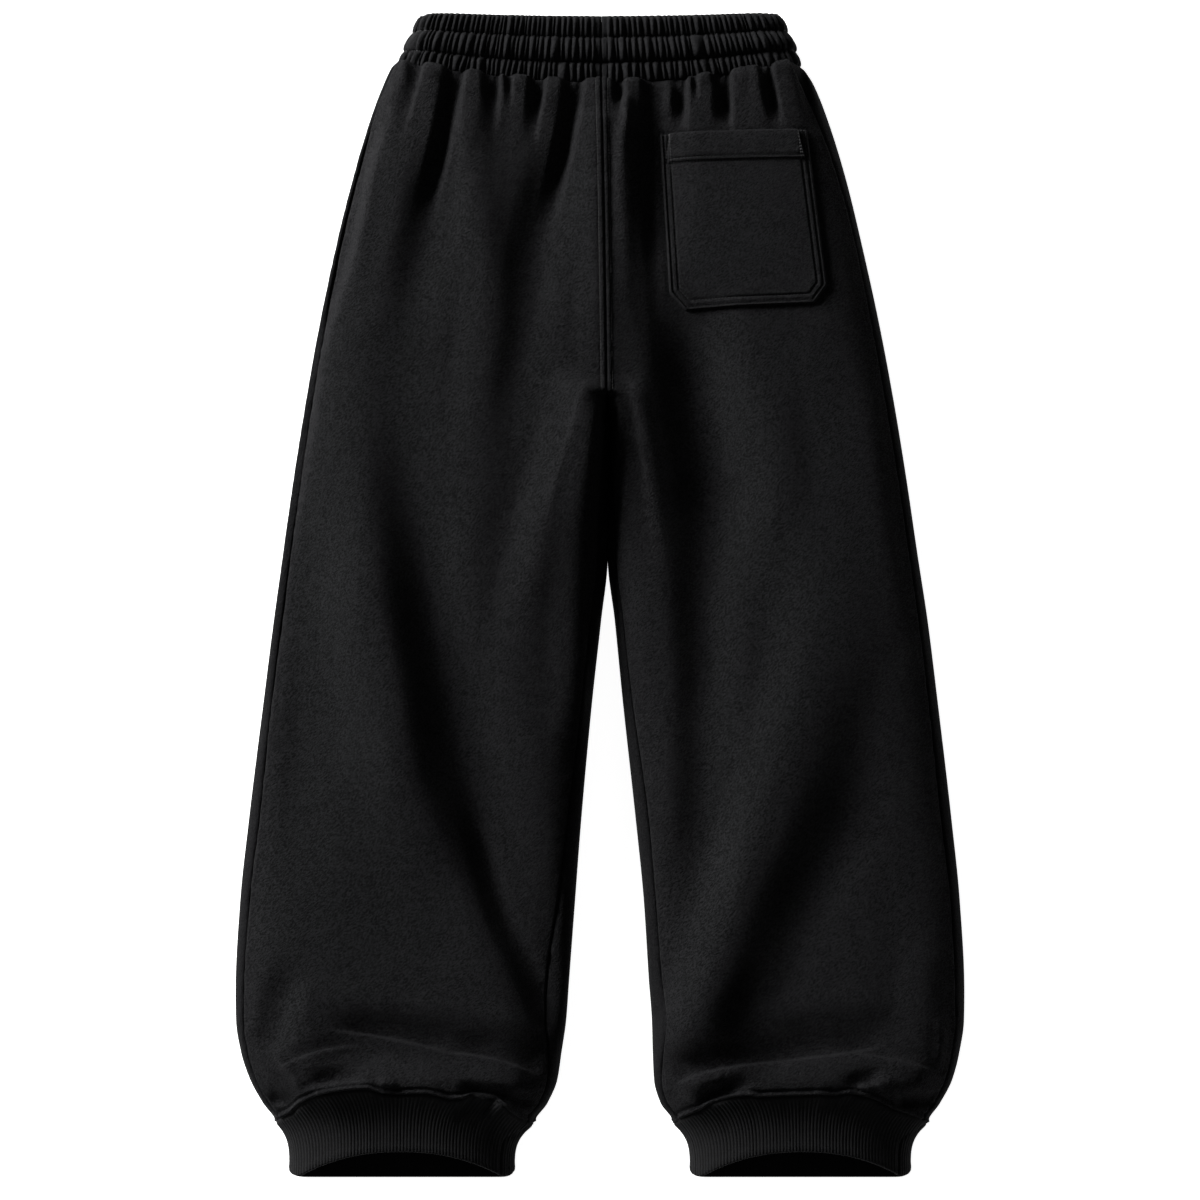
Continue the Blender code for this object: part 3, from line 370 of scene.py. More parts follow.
def tongue_in(fold):
    """The small tongue of cloth that the seam holds up inside the head of a deep gather."""
    x, down = fold["x0"], fold["d0"]
    return dict(x0=x - 2, d0=down - 3, x1=x - 2, d1=down + 6, x2=x - 1, d2=down + 15,
                rise=TONGUE_RISE, left=5.5, right=5.5, point=1.0, come=0.1, go=0.9)


def make_relief():
    """Heights that gathers, folds and unevenness add to the top layer, over the whole plan, and
    how far the puffs hang over the waistband's seam."""
    stray = ripples(11, 120, 120), ripples(12, 120, 120)
    across, down = PLAN_ACROSS + LEG_STRAY * stray[0], PLAN_DOWN + LEG_STRAY * stray[1]
    relief = np.zeros(PLAN_ACROSS.shape)
    for fold in LEG_FOLDS:
        add_fold(relief, fold, across, down)
    across, down = PLAN_ACROSS + SEWN_STRAY * stray[0], PLAN_DOWN + SEWN_STRAY * stray[1]
    for fold in ANKLE_FOLDS:
        add_fold(relief, fold, across, down)
    valleys = np.zeros(PLAN_ACROSS.shape)
    for fold in YOKE_FOLDS:
        add_fold(valleys, fold, across, down)
        if fold["rise"] < TONGUE_FROM:
            add_fold(valleys, tongue_in(fold), across, down)

    below = np.maximum(PLAN_DOWN - BAND_SEAM - seam_bow(PLAN_ACROSS), 0.0)
    depth = np.clip(-valleys / PINCH, 0.0, 1.0)
    round_top = 9.0 + 26.0 * depth              # puffs swell quickly from the seam, gathers slowly
    rise = np.sqrt(np.clip(1 - (1 - np.clip(below / round_top, 0, 1))**2, 0, 1))
    pleats = ripples(13, 11, 60) * 0.8 * np.exp(-below / 16)      # fine ones by the seam
    pleats += ripples(14, 16, 120) * 0.8 * np.exp(-below / 45)    # and some that run on
    relief += valleys * rise - PINCH * (1 - rise) + pleats * ease((below - 3) / 9)

    calm = 1 - ease((PLAN_DOWN - ANKLE_START) / 60)
    relief += 0.55 * ripples(15, 75, 110) + 0.22 * ripples(16, 30, 42) * (1.6 - calm)
    relief += 0.4 * ripples(17, 10, 26) * ease((PLAN_DOWN - 968) / 45)    # gathered by the cuff
    from_pocket = np.abs(outside_pocket(PLAN_ACROSS, PLAN_DOWN))
    relief -= 1.1 * np.exp(-(from_pocket / 2.4)**2)           # the sewn patch draws the panel in
    puffs = soften((1 - depth)**1.5, 10, 10)
    return relief, PUFF_OVERHANG * puffs * ease(below / 2.5) * np.exp(-(below / 8.0)**2)


def read_plan(grid, across, down):
    """Bilinear reading of a grid over the plan."""
    x = np.clip(np.asarray(across, float) + PLAN_SIDE, 0, grid.shape[1] - 1.001)
    y = np.clip(np.asarray(down, float) + PLAN_ABOVE, 0, grid.shape[0] - 1.001)
    i, j = x.astype(int), y.astype(int)
    u, v = x - i, y - j
    return ((grid[j, i] * (1 - u) + grid[j, i + 1] * u) * (1 - v)
            + (grid[j + 1, i] * (1 - u) + grid[j + 1, i + 1] * u) * v)


RELIEF, OVERHANG = make_relief()
UNDERSIDE = (np.clip(1.2 * ripples(21, 90, 260) - 0.4, 0, 1.8)
             + np.clip(0.5 * ripples(22, 30, 60), 0, 0.6))


# ---------------------------------------------------------------- skin of the garment

def finish_section(s):
    """Adds what follows from a section's own columns: its middle, half width and seam heights."""
    s.setdefault("closed", 1.0)
    s["middle"] = (s["out"] + s["in"]) / 2
    s["half"] = (s["out"] - s["in"]) / 2
    s["seam_up"] = np.sqrt(1 - (1 - s["strip"] / s["half"])**s["round"])
    s["inseam_up"] = np.sqrt(1 - (1 - s["inseam"] / s["half"])**s["round_in"])
    return s


def crown(q, s):
    """Height of a section's upper side at distance q from the middle plane."""
    reach = np.clip((q - s["middle"]) / s["half"], -1.0, 1.0)
    fall = np.where(reach > 0, np.abs(reach)**s["round"],
                    s["closed"] * np.abs(reach)**s["round_in"])
    return s["belly"] + (s["tall"] - s["belly"]) * np.sqrt(1 - fall)


def lower_place(run, s):
    """(distance from the middle plane, height) below the widest line of a section."""
    outer = np.clip(run - OUTER_EDGE, 0, 1) * np.pi / 2
    flat = np.clip(run - OUTER_FLOOR, 0, 1)
    turn = np.sin(np.clip(run - INNER_FLOOR, 0, 1) * np.pi / 2)
    span = s["out"] - s["in"] - 2 * s["floor"]
    q = s["out"] - s["floor"] * (1 - np.cos(outer)) - span * flat - s["floor"] * turn
    inner_up = s["belly"] * (1 - np.sqrt(np.clip(1 - s["closed"] * turn * turn, 0, 1)))
    return q, np.where(run < OUTER_FLOOR, s["belly"] * (1 - np.sin(outer)), inner_up)


def side_place(run, s):
    """The same between a section's widest line and the seam above it."""
    outer = run < UNDER_MIDDLE
    rise = np.where(outer, np.clip(OUTER_EDGE - run, 0, 1) * s["seam_up"],
                    np.clip(run - INNER_EDGE, 0, 1) * s["inseam_up"])
    power = np.where(outer, s["round"], s["round_in"])
    reach = (1 - rise * rise)**(1 / power)
    q = s["middle"] + np.where(outer, 1, -1) * s["half"] * reach
    return q, s["belly"] + (s["tall"] - s["belly"]) * rise


def by_run(run, top, side, low):
    """Picks the value for each place's stretch of the run: on top, at a side or underneath."""
    under = (run >= OUTER_EDGE) & (run <= INNER_EDGE)
    return np.where(run <= OUTER_SEAM, top, np.where(under, low, side))


class Half:
    """The skin of one half: a leg and its side of the seat."""

    def __init__(self, name, side):
        self.name = name
        self.side = side

    def section(self, down):
        """The half's section at a distance from the waist's edge, by the names of its columns."""
        s = {}
        for column in SECTIONS.names[1:]:
            name, _, owner = column.partition(".")
            if owner in ("", self.name):
                s[name] = SECTIONS.read(column, down)
        below = np.asarray(down) > CROTCH
        s["in"] = s["in"] + LEG_GAP * below
        dive = np.clip(1 - (CROTCH - down) / CROTCH_DIVE, 0, 1)**CROTCH_SHARPNESS
        s["closed"] = np.where(below, 1.0, 1 - (1 - dive)**2)
        return finish_section(s)

    def top_down(self, q, s, nominal):
        """Distance from the waist's edge of a place on the top layer, moved by the bowed seams."""
        top = seam_bow(q) * (1 - ease((nominal - BAND_SEAM) / BOW_FADE))
        legs = ease((nominal - CUFF_BOW_START) / (CUFF_SEAM - CUFF_BOW_START))
        bow = CUFF_SEAM_BOW * legs * np.maximum(0.0, 1 - ((q - s["middle"]) / s["half"])**2)
        places, strays = np.array(CUFF_SEAM_WANDER).T
        drawn = ease((nominal - WANDER_START) / (CUFF_SEAM - WANDER_START))
        return nominal + top - bow + np.interp(self.side * q, places, strays) * drawn

    def ends(self, s):
        """Distances of the back panel's two seams from the middle plane."""
        return s["in"] + s["inseam"], s["out"] - s["strip"]

    def point(self, run, nominal, relief=True):
        """(across, down, up) of places on the skin, in millimetres."""
        run, nominal = np.broadcast_arrays(np.asarray(run, float), np.asarray(nominal, float))
        s = self.section(nominal)
        q_low, up_low = lower_place(run, s)

        inner, outer = self.ends(s)
        over = np.clip(run, 0, 1)
        down_top = self.top_down(inner + over * (outer - inner), s, nominal)
        s_top = self.section(down_top)
        inner, outer = self.ends(s_top)
        q_top = inner + over * (outer - inner)
        up_top = crown(q_top, s_top)

        down_side = self.top_down(side_place(run, s)[0], s, nominal)
        q_side, up_side = side_place(run, self.section(down_side))
        share = np.where(run < UNDER_MIDDLE, OUTER_EDGE - run, run - INNER_EDGE)
        fade = np.clip(share, 0, 1)**2               # the relief fades down the sides

        if relief:
            flat = np.clip(np.minimum(run - OUTER_FLOOR, INNER_FLOOR - run) / 0.04, 0, 1)
            up_low = up_low + flat * read_plan(UNDERSIDE, self.side * q_low, nominal)
            up_top = up_top + read_plan(RELIEF, self.side * q_top, down_top)
            up_side = up_side + fade * read_plan(RELIEF, self.side * q_side, down_side)
            down_top = down_top - read_plan(OVERHANG, self.side * q_top, down_top)
            down_side = down_side - fade * read_plan(OVERHANG, self.side * q_side, down_side)
        else:
            up_top = up_top - PINCH
            up_side = up_side - fade * PINCH
        q = by_run(run, q_top, q_side, q_low)
        down = by_run(run, down_top, down_side, nominal)
        return self.side * q, down, by_run(run, up_top, up_side, up_low)


LEFT = Half("left", -1)
RIGHT = Half("right", 1)
HALVES = (LEFT, RIGHT)


def place(across, down, up):
    """Points in metres, from millimetres across, down from the waist's edge, and up."""
    across, down, up = np.broadcast_arrays(across, down, up)
    return np.stack([across, LENGTH / 2 - down, up], axis=-1) * MM


def unit(vectors):
    """The same directions, with a length of one."""
    return vectors / np.maximum(np.linalg.norm(vectors, axis=-1, keepdims=True), 1e-12)


def grid_normals(points, side):
    """Unit normals of a grid of points, out of the cloth."""
    return unit(np.cross(np.gradient(points, axis=0), np.gradient(points, axis=1)) * side)


def top_height(across, down):
    """Height of the top layer over a place of the plan."""
    up = np.zeros(np.broadcast(across, down).shape)
    for half in HALVES:
        own = np.asarray(across) * half.side >= 0
        s = half.section(down)
        up = np.where(own, crown(half.side * across, s), up)
    return up + read_plan(RELIEF, across, down)


# ---------------------------------------------------------------- walls of cloth

def bridge(first, second, first_along, second_along):
    """Faces between two rows of point numbers, which may have different counts."""
    if len(first) == len(second):
        return np.stack([first[:-1], second[:-1], second[1:], first[1:]], axis=1).tolist()
    faces, i, j = [], 0, 0
    while i < len(first) - 1 or j < len(second) - 1:
        if j == len(second) - 1 or (i < len(first) - 1
                                    and first_along[i + 1] <= second_along[j + 1] + 1e-9):
            faces.append([first[i], second[j], first[i + 1]])
            i += 1
        else:
            faces.append([first[i], second[j], second[j + 1]])
            j += 1
    return faces


def add_piece(name, points, faces, material, smooth_angle=75):
    """A mesh object in the scene, with its faces turned out."""
    mesh = bpy.data.meshes.new(name)
    mesh.from_pydata(np.asarray(points).tolist(), [], faces)
    body = bmesh.new()
    body.from_mesh(mesh)
    bmesh.ops.recalc_face_normals(body, faces=body.faces)
    body.to_mesh(mesh)
    body.free()
    mesh.shade_smooth()
    mesh.set_sharp_from_angle(angle=math.radians(smooth_angle))
    mesh.materials.append(material)
    piece = bpy.data.objects.new(name, mesh)
    bpy.context.scene.collection.objects.link(piece)
    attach(piece, "root")
    return piece


def wall(name, skin, thickness, material, every=(2, 3)):
    """A closed wall of cloth: rows of (outer points, normals, places along) over a lining that
    has every second row and every third point of them, or as `every` says."""
    rows = sorted({*range(0, len(skin), every[0]), len(skin) - 1})
    points, outer, lining = [], [], []
    total = 0
    for spots, _, along in skin:
        outer.append((np.arange(total, total + len(spots)), along))
        points.append(spots)
        total += len(spots)
    for r in rows:
        spots, out, along = skin[r]
        keep = sorted({*range(0, len(spots), every[1]), len(spots) - 1})
        depth = thickness[r] if np.ndim(thickness) else thickness
        inner = spots[keep] - out[keep] * depth * MM
        lining.append((np.arange(total, total + len(inner)), along[keep]))
        points.append(inner)
        total += len(inner)

    faces = []
    for layer in (outer, lining):
        for (first, first_along), (second, second_along) in zip(layer, layer[1:]):
            faces += bridge(first, second, first_along, second_along)
    for end in (0, -1):
        faces += bridge(outer[end][0], lining[end][0], outer[end][1], lining[end][1])
        long_edge = np.array([row[0][end] for row in outer])
        short_edge = np.array([row[0][end] for row in lining])
        faces += bridge(long_edge, short_edge, np.arange(len(outer)), np.array(rows))
    return add_piece(name, np.concatenate(points), faces, material)


def rows_between(stretches):
    """Row places over stretches of (start, end, spacing)."""
    rows = [np.array([stretches[0][0]], float)]
    for start, end, spacing in stretches:
        count = max(1, round((end - start) / spacing))
        rows.append(np.linspace(start, end, count + 1)[1:])
    return np.concatenate(rows)


def uneven_line(seed, spacing, at):
    """Seeded smooth unevenness along a line, between -1 and 1, with waves about that long."""
    at = np.asarray(at, float)
    start = math.floor(at.min() / spacing) - 1
    knots = np.random.default_rng(seed).uniform(-1, 1, int(at.max() / spacing) - start + 4)
    k = np.floor(at / spacing).astype(int) - start
    t = ease(at / spacing - np.floor(at / spacing))
    return knots[k] * (1 - t) + knots[k + 1] * t


def seam_ditch(distance, depth=1.3, width=1.8):
    """Cloth turns down into a sewn seam."""
    return -depth * np.exp(-(distance / width)**2)


def pucker(seed, along, distance, height=0.45):
    """Small uneven waves that the sewing draws into the cloth beside a seam."""
    return height * uneven_line(seed, 6.5, along) * np.exp(-(distance / 8.0)**2)


def arc_from(points, end):
    """Distance in millimetres of each column of a grid from its first or last column."""
    steps = np.linalg.norm(np.diff(points, axis=1), axis=-1) / MM
    far = np.concatenate([np.zeros((len(points), 1)), np.cumsum(steps, axis=1)], axis=1)
    return far if end == 0 else far[:, -1:] - far


def turned_edge(edge, way, out, radius, reach=1.0):
    """Three rows by which cloth turns over beyond the edge that it is folded at."""
    rows = []
    for degrees in (30, 60, 90):
        a = math.radians(degrees)
        rows.append(edge + way * radius * math.sin(a) * reach - out * radius * (1 - math.cos(a)))
    return np.stack(rows)


def back_panel(half, material):
    """Top layer of a half, from the centre back seam and inseam to the outer seam."""
    nominal = rows_between(ROW_STRETCHES)[:, None]
    inner, outer = half.ends(half.section(nominal))
    width = outer - inner
    seam_side = np.array([0, 0.5, 1.0, 1.6, 2.3, 3.0, 3.7, 4.3, 4.8, 5.3, 5.9, 6.8, 8.2]) / width
    rest = np.linspace(0, 1, 128)[1:]
    run = np.concatenate([seam_side, seam_side[:, -1:] + (1 - seam_side[:, -1:]) * rest], axis=1)
    run[:, 0] = SEAM_GAP / 2 / width[:, 0]
    run[:, -1] = 1 - SEAM_GAP / 2 / width[:, 0]
    run = np.sort(run, axis=1)
    base = place(*half.point(run, nominal))
    normals = grid_normals(base, half.side)

    in_seat = 1 - ease((nominal - (CROTCH - 14)) / 14)
    from_centre, from_side = arc_from(base, 0), arc_from(base, -1)
    welt = np.sin(np.pi * np.clip(from_centre / CENTRE_WELT, 0, 1))**0.6
    detail = in_seat * CENTRE_WELT_HEIGHT * welt + seam_ditch(from_centre, 1.0, 0.8)
    detail += in_seat * seam_ditch(from_centre - CENTRE_WELT, 0.5, 0.7)
    detail += seam_ditch(from_side, 1.6, 1.2) + 0.9 * np.exp(-((from_side - 3.0) / 1.8)**2)
    detail += (pucker(31, nominal, from_centre - 5, 0.35)
               + pucker(32 + half.side, nominal, from_side))
    from_cuff = CUFF_SEAM - nominal
    detail += 1.4 * np.exp(-((from_cuff - 2.1) / 1.2)**2) + seam_ditch(from_cuff, 1.5, 0.8)
    detail += seam_ditch(from_cuff - 5.0, 1.1, 1.4)
    skin = base + normals * detail[..., None] * MM
    rows = list(zip(skin, normals, run))
    return wall("back_" + half.name + "_cloth", rows, FLEECE, material)


def front_panel(half, material):
    """Underside and side strips of a half, round to the inseam on the leg."""
    nominal = rows_between(ROW_STRETCHES)
    nominal = np.sort(np.unique(np.concatenate([nominal[::2], [CROTCH, CUFF_SEAM]])))[:, None]
    stretches = ((OUTER_SEAM, OUTER_EDGE, 0.09), (OUTER_EDGE, OUTER_FLOOR, 0.08),
                 (OUTER_FLOOR, INNER_FLOOR, 0.022), (INNER_FLOOR, INNER_EDGE, 0.09))
    body_run = rows_between(stretches)[None, :]
    body_run[0, 0] += 0.006
    leg_run = rows_between(((INNER_EDGE, INSEAM, 0.1),))[None, :]
    leg_run[0, -1] -= 0.006
    body = place(*half.point(body_run, nominal))
    leg = place(*half.point(leg_run, nominal))
    body_out, leg_out = grid_normals(body, half.side), grid_normals(leg, half.side)

    from_side = arc_from(body, 0)
    raised = np.clip(body[..., 2] / MM / 6.0, 0, 1)               # none where the cloth rests
    detail = seam_ditch(from_side, 1.1, 1.4) + pucker(42 + half.side, nominal, from_side)
    below = np.clip(nominal - BAND_SEAM, 0, None)
    gathers = uneven_line(51 + half.side, 9.0, from_side[0])[None, :]
    detail += 2.2 * gathers * np.exp(-below / 26) * raised
    hem = CUFF_SEAM - nominal
    ankle = uneven_line(61 + half.side, 11.0, from_side[-1])[None, :]
    detail += 1.6 * ankle * np.exp(-hem / 22) * raised
    detail += (1.1 * np.exp(-((hem - 2.0) / 1.3)**2) + seam_ditch(hem, 1.5, 0.8)) * raised
    body = body + body_out * detail[..., None] * MM
    body[..., 2] = np.maximum(body[..., 2], 0.0)

    from_inseam = arc_from(leg, -1)
    detail = seam_ditch(from_inseam, 1.1, 1.4) + pucker(45 + half.side, nominal, from_inseam)
    leg = leg + leg_out * detail[..., None] * MM
    rows = []
    for r, at in enumerate(nominal[:, 0]):
        row, more = (body[r], body_out[r], body_run[0]), (leg[r], leg_out[r], leg_run[0])
        if at > CROTCH:
            row = tuple(np.concatenate([own, rest[1:]]) for own, rest in zip(row, more))
        rows.append(row)
    return wall("front_" + half.name + "_cloth", rows, FLEECE, material)


# ---------------------------------------------------------------- waistband

def band_ring():
    """(across, down, up) of fine places round the band's seam, from the centre back over the left
    half to the front, and over the right half to the centre back again."""
    fine = np.linspace(0, INNER_EDGE, 1400)
    left = LEFT.point(fine, BAND_SEAM, relief=False)
    right = RIGHT.point(fine, BAND_SEAM, relief=False)
    ring = [np.concatenate([a, b[::-1][1:]]) for a, b in zip(left, right)]
    return np.stack(ring, axis=1)


def smooth_along(values, times):
    """Evens out a row of values, that many times over."""
    for _ in range(times):
        values[1:-1] = (values[:-2] + 2 * values[1:-1] + values[2:]) / 4
    return values


def gather_edges(length, tunnel, seed):
    """Places of the sharp valleys between the gathers of one tunnel, round the band."""
    draw = np.random.default_rng(seed)
    shared = np.random.default_rng(70)
    edges = [BACK_TAB]
    while edges[-1] < length - BACK_TAB:
        edges.append(edges[-1] + PUFF_PITCH * (1 + 0.3 * shared.uniform(-1, 1)))
    edges = np.array(edges)
    room, taken = length - BACK_TAB * 2, edges[-1] - BACK_TAB
    edges = edges * room / taken + BACK_TAB * (1 - room / taken)
    keep = draw.uniform(size=len(edges)) > tunnel["merged"]
    keep[[0, 1, -2, -1]] = True
    edges[1:-1] += tunnel["uneven"] * PUFF_PITCH * draw.uniform(-0.8, 0.8, len(edges) - 2)
    return np.sort(edges[keep]), draw


def shirring(along, height, length):
    """Rise of the band's cloth at distances along it and shares of its height, 0 at the waist."""
    rise = np.zeros(np.broadcast(along, height).shape)
    along, height = np.broadcast_arrays(along, height)
    from_join = np.minimum(along, length - along)
    for number, tunnel in enumerate(TUNNELS):
        inside = (height >= tunnel["start"]) & (height <= tunnel["end"] + 1e-9)
        v = np.clip((height - tunnel["start"]) / (tunnel["end"] - tunnel["start"]), 0, 1)
        arch = np.sin(np.pi * v**tunnel["full"])**0.5
        edges, draw = gather_edges(length, tunnel, 71 + number)
        sizes = draw.uniform(0.78, 1.12, len(edges))
        leans = tunnel["lean"] * draw.uniform(-1, 1, len(edges))
        lean = np.interp(along, edges, leans)
        wobble = 0.5 * uneven_line(81 + number, 7.0, along + 9 * v)
        at = np.clip(along + (lean * (v - 0.5) + wobble) * arch, 0.0, length)
        k = np.clip(np.searchsorted(edges, at, side="right") - 1, 0, len(edges) - 2)
        width = edges[k + 1] - edges[k]
        u = np.clip((at - edges[k]) / width, 0, 1)
        skew = 0.5 + 0.12 * np.sin(k * 2.3 + number)
        u = np.where(u < skew, u / skew / 2, 0.5 + (u - skew) / (1 - skew) / 2)
        puff = np.sin(np.pi * u)**0.9 * sizes[k] * np.clip(width / PUFF_PITCH, 0.5, 1.4)**0.5
        puff = np.where(from_join < BACK_TAB, 0.42 + seam_ditch(from_join, 0.5, 1.0), puff)
        here = tunnel["swell"] * arch + PUFF_HEIGHT * puff * (0.42 + 0.58 * arch)
        rise = np.where(inside, here, rise)
    return rise


def band_points(ring, along, height):
    """Points and directions out of the cloth on the band; height is 0 at its edge, 1 at the seam.

    Both are read from the ring round the seam at distances `along` it."""
    steps = np.hypot(np.diff(ring[:, 0]), np.diff(ring[:, 2]))
    lengths = np.concatenate([[0], np.cumsum(steps)])
    x, down, up = (np.interp(along, lengths, ring[:, k]) for k in range(3))
    dx = np.interp(along, lengths, smooth_along(np.gradient(ring[:, 0], lengths), 12))
    dz = np.interp(along, lengths, smooth_along(np.gradient(ring[:, 2], lengths), 12))
    out = unit(np.stack([dz, np.zeros_like(dz), -dx], axis=-1))
    bowed = (down - BAND_SEAM) / BAND_SEAM_BOW
    edge = bowed * WAIST_EDGE_BOW + EDGE_SAG * (1 - bowed)
    seam = down - SEAM_GAP / 2
    points = place(x * (WAIST_WIDTH + (1 - WAIST_WIDTH) * height), edge + (seam - edge) * height,
                   up * (WAIST_HEIGHT + (1 - WAIST_HEIGHT) * height))
    return points, np.broadcast_to(out, points.shape)


def band_surface(ring, length, along, height):
    """The shirred surface of the band, and its normals."""
    points, out = band_points(ring, along, height)
    rise = shirring(along, height, length) * (1 - 0.5 * out[..., 0]**2)     # tighter at the sides
    clear = ease((out[..., 2] + 0.95) / 0.7)
    rise = rise * clear + (rise - UNDER_PUFF) * 0.45 * (1 - clear)    # only valleys show beneath
    moved = points + out * rise[..., None] * MM
    moved[..., 2] = np.maximum(moved[..., 2], 0.0)
    return moved, out


def waistband(material):
    """One strip round the waist, open at the centre back seam, with a folded upper edge."""
    ring = band_ring()
    length = np.hypot(np.diff(ring[:, 0]), np.diff(ring[:, 2])).sum()
    along = np.linspace(BAND_JOIN / 2, length - BAND_JOIN / 2, 1050)[None, :]
    heights = []
    for tunnel in TUNNELS:
        heights.append(np.linspace(tunnel["start"], tunnel["end"], TUNNEL_ROWS)[:-1])
    heights = np.concatenate(heights + [[1.0]])[:, None]
    grid, out = band_surface(ring, length, along, heights)
    up_the_waist = np.array([0.0, 1.0, 0.0])
    folded = turned_edge(grid[0], up_the_waist, out[0], BAND_FLEECE / 2 * MM, 0.8)[::-1]
    thickness = [BAND_FLEECE / 2] * len(folded) + [BAND_FLEECE] * len(grid)
    grid = np.concatenate([folded, grid])
    out = np.concatenate([np.repeat(out[:1], len(folded), axis=0), out])
    rows = [(row, normals, along[0]) for row, normals in zip(grid, out)]
    return wall("waistband_cloth", rows, thickness, material, every=(3, 4)), ring, length


# ---------------------------------------------------------------- cuffs

def cuff_place(half, run, height):
    """(across, down, up) on a plain cuff; height is 0 at its seam, 1 at its hem."""
    across, down, up = half.point(run, CUFF_SEAM)
    hem = finish_section({**CUFF_HEM, "in": CUFF_HEM_IN[half.name]})
    q_low, up_low = lower_place(run, hem)
    q_side, up_side = side_place(run, hem)
    q_top = hem["in"] + hem["inseam"]
    q_top = q_top + np.clip(run, 0, 1) * (hem["out"] - hem["strip"] - q_top)
    q = by_run(run, q_top, q_side, q_low)
    hem_up = by_run(run, crown(q_top, hem), up_side, up_low)
    side = np.minimum(1.0, np.abs(q - hem["middle"]) / hem["half"])
    bow = CUFF_HEM_BOW * (1 - np.minimum(1.0, side / HEM_SPAN)**CUFF_HEM_BOW_SHARPNESS)
    hem_down = LENGTH - RIB_CLOTH / 2 - HEM_CORNER * side**HEM_CORNER_SHARPNESS - by_run(
        run, bow, bow, 0.0)
    drawn = 1 - (1 - height)**CUFF_DRAW_IN
    seam = down + SEAM_GAP / 2
    return (across + (half.side * q - across) * drawn, seam + (hem_down - seam) * height,
            up + (hem_up - up) * drawn)


def cuff_runs(half):
    """Runs evenly spaced round the cuff, and the distance that each is along it."""
    fine = np.linspace(0, INSEAM, 3000)
    x, _, z = cuff_place(half, fine, 0.6)
    lengths = np.concatenate([[0], np.cumsum(np.hypot(np.diff(x), np.diff(z)))])
    count = round(lengths[-1] / RIB_PITCH) * 7
    along = np.linspace(SEAM_GAP / 2, lengths[-1] - SEAM_GAP / 2, count)
    return np.interp(along, lengths, fine), along, lengths[-1]


def cuff(half, material):
    """One ribbed tube, open at its seam in line with the inseam, with a folded hem."""
    run, along, length = cuff_runs(half)
    heights = np.concatenate([[0, 0.015, 0.03, 0.05], np.linspace(0.08, 0.94, 15),
                              [0.965, 0.985, 1.0]])
    base = place(*cuff_place(half, run[None, :], heights[:, None]))
    out = grid_normals(base, half.side)
    ribs = round(length / RIB_PITCH)
    sway = 0.35 * uneven_line(91 + half.side, 14.0, along)[None, :]
    phase = (along[None, :] + sway) / length * ribs
    puffed = np.abs(np.sin(np.pi * phase))**0.75
    grip = ease(heights[:, None] / 0.06)
    uneven = 1 + 0.18 * uneven_line(93 + half.side, 5.0, along)[None, :]
    raised = np.clip(base[..., 2] / MM / 5.0, 0, 1)
    detail = RIB_HEIGHT * puffed * grip * uneven
    detail = detail * raised + (detail - RIB_HEIGHT * 1.2) * (1 - raised)
    detail += 0.35 * np.exp(-((heights[:, None] - 0.93) / 0.05)**2) * raised
    detail += seam_ditch(heights[:, None] * 60, 1.4, 1.0)
    # a crease where the tube is pressed flat, inside its right-hand side
    inside = (base[..., 0].max(axis=1, keepdims=True) - base[..., 0]) / MM
    crease = 2.0 + 10.0 * ease((heights[:, None] - 0.1) / 0.35)
    upper = base[..., 2] / MM > 20
    detail += upper * ease(heights[:, None] / 0.1) * seam_ditch(inside - crease, 1.3, 1.0)
    grid = base + out * detail[..., None] * MM
    turned = turned_edge(grid[-1], unit(base[-1] - base[-4]), out[-1], RIB_CLOTH / 2 * MM)
    grid = np.concatenate([grid, turned])
    grid[..., 2] = np.maximum(grid[..., 2], 0.0)
    out = np.concatenate([out, np.repeat(out[-1:], len(turned), axis=0)])
    thickness = [RIB_CLOTH] * len(base) + [RIB_CLOTH / 2] * len(turned)
    rows = [(row, normals, along) for row, normals in zip(grid, out)]
    return wall("cuff_" + half.name + "_cloth", rows, thickness, material, every=(3, 1))


# ---------------------------------------------------------------- pocket

def mix(a, b, t):
    """The place at a share of the way from one place of the plan to another."""
    return a[0] + (b[0] - a[0]) * t, a[1] + (b[1] - a[1]) * t


def pocket_edges(share):
    """Left and right ends of the pocket's row at a share of its sides, or past 1 of its bevels."""
    if share <= 1:
        return [mix(POCKET_TOP[i], POCKET_SIDE_ENDS[i], share) for i in (0, 1)]
    return [mix(POCKET_SIDE_ENDS[i], POCKET_BOTTOM[i], share - 1) for i in (0, 1)]


def pocket_rest(across, down):
    """Height of the pocket's lining: just over the panel, smoother than its finest relief."""
    height = np.zeros(np.broadcast(across, down).shape)
    reach = (-6.0, -3.0, 0.0, 3.0, 6.0)
    for dx in reach:
        for dd in reach:
            height = height + top_height(across + dx, down + dd) / len(reach)**2
    return np.maximum(height, top_height(across, down)) + POCKET_LIFT


def pocket_lines():
    """Rows and columns of the pocket's grid, in millimetres across and down."""
    shares = np.concatenate([np.linspace(0, 1, 112), np.linspace(1, 2, 14)[1:]])
    columns = np.concatenate([np.linspace(0, 0.08, 19), np.linspace(0.08, 0.92, 72)[1:],
                              np.linspace(0.92, 1, 19)[1:]])
    rows = np.array([mix(*pocket_edges(share), columns) for share in shares])
    return rows[:, 0], rows[:, 1], columns


def edge_distance(across, down):
    """Distance of places inside the pocket from its sides and bottom, and from its top."""
    sides = zip(POCKET_CORNERS, POCKET_CORNERS[1:])
    nearest = np.min([beside(across, down, start, end)[1] for start, end in sides], axis=0)
    (x, top), (x_end, top_end) = POCKET_TOP
    return nearest, down - (top + (across - x) * ((top_end - top) / (x_end - x)))


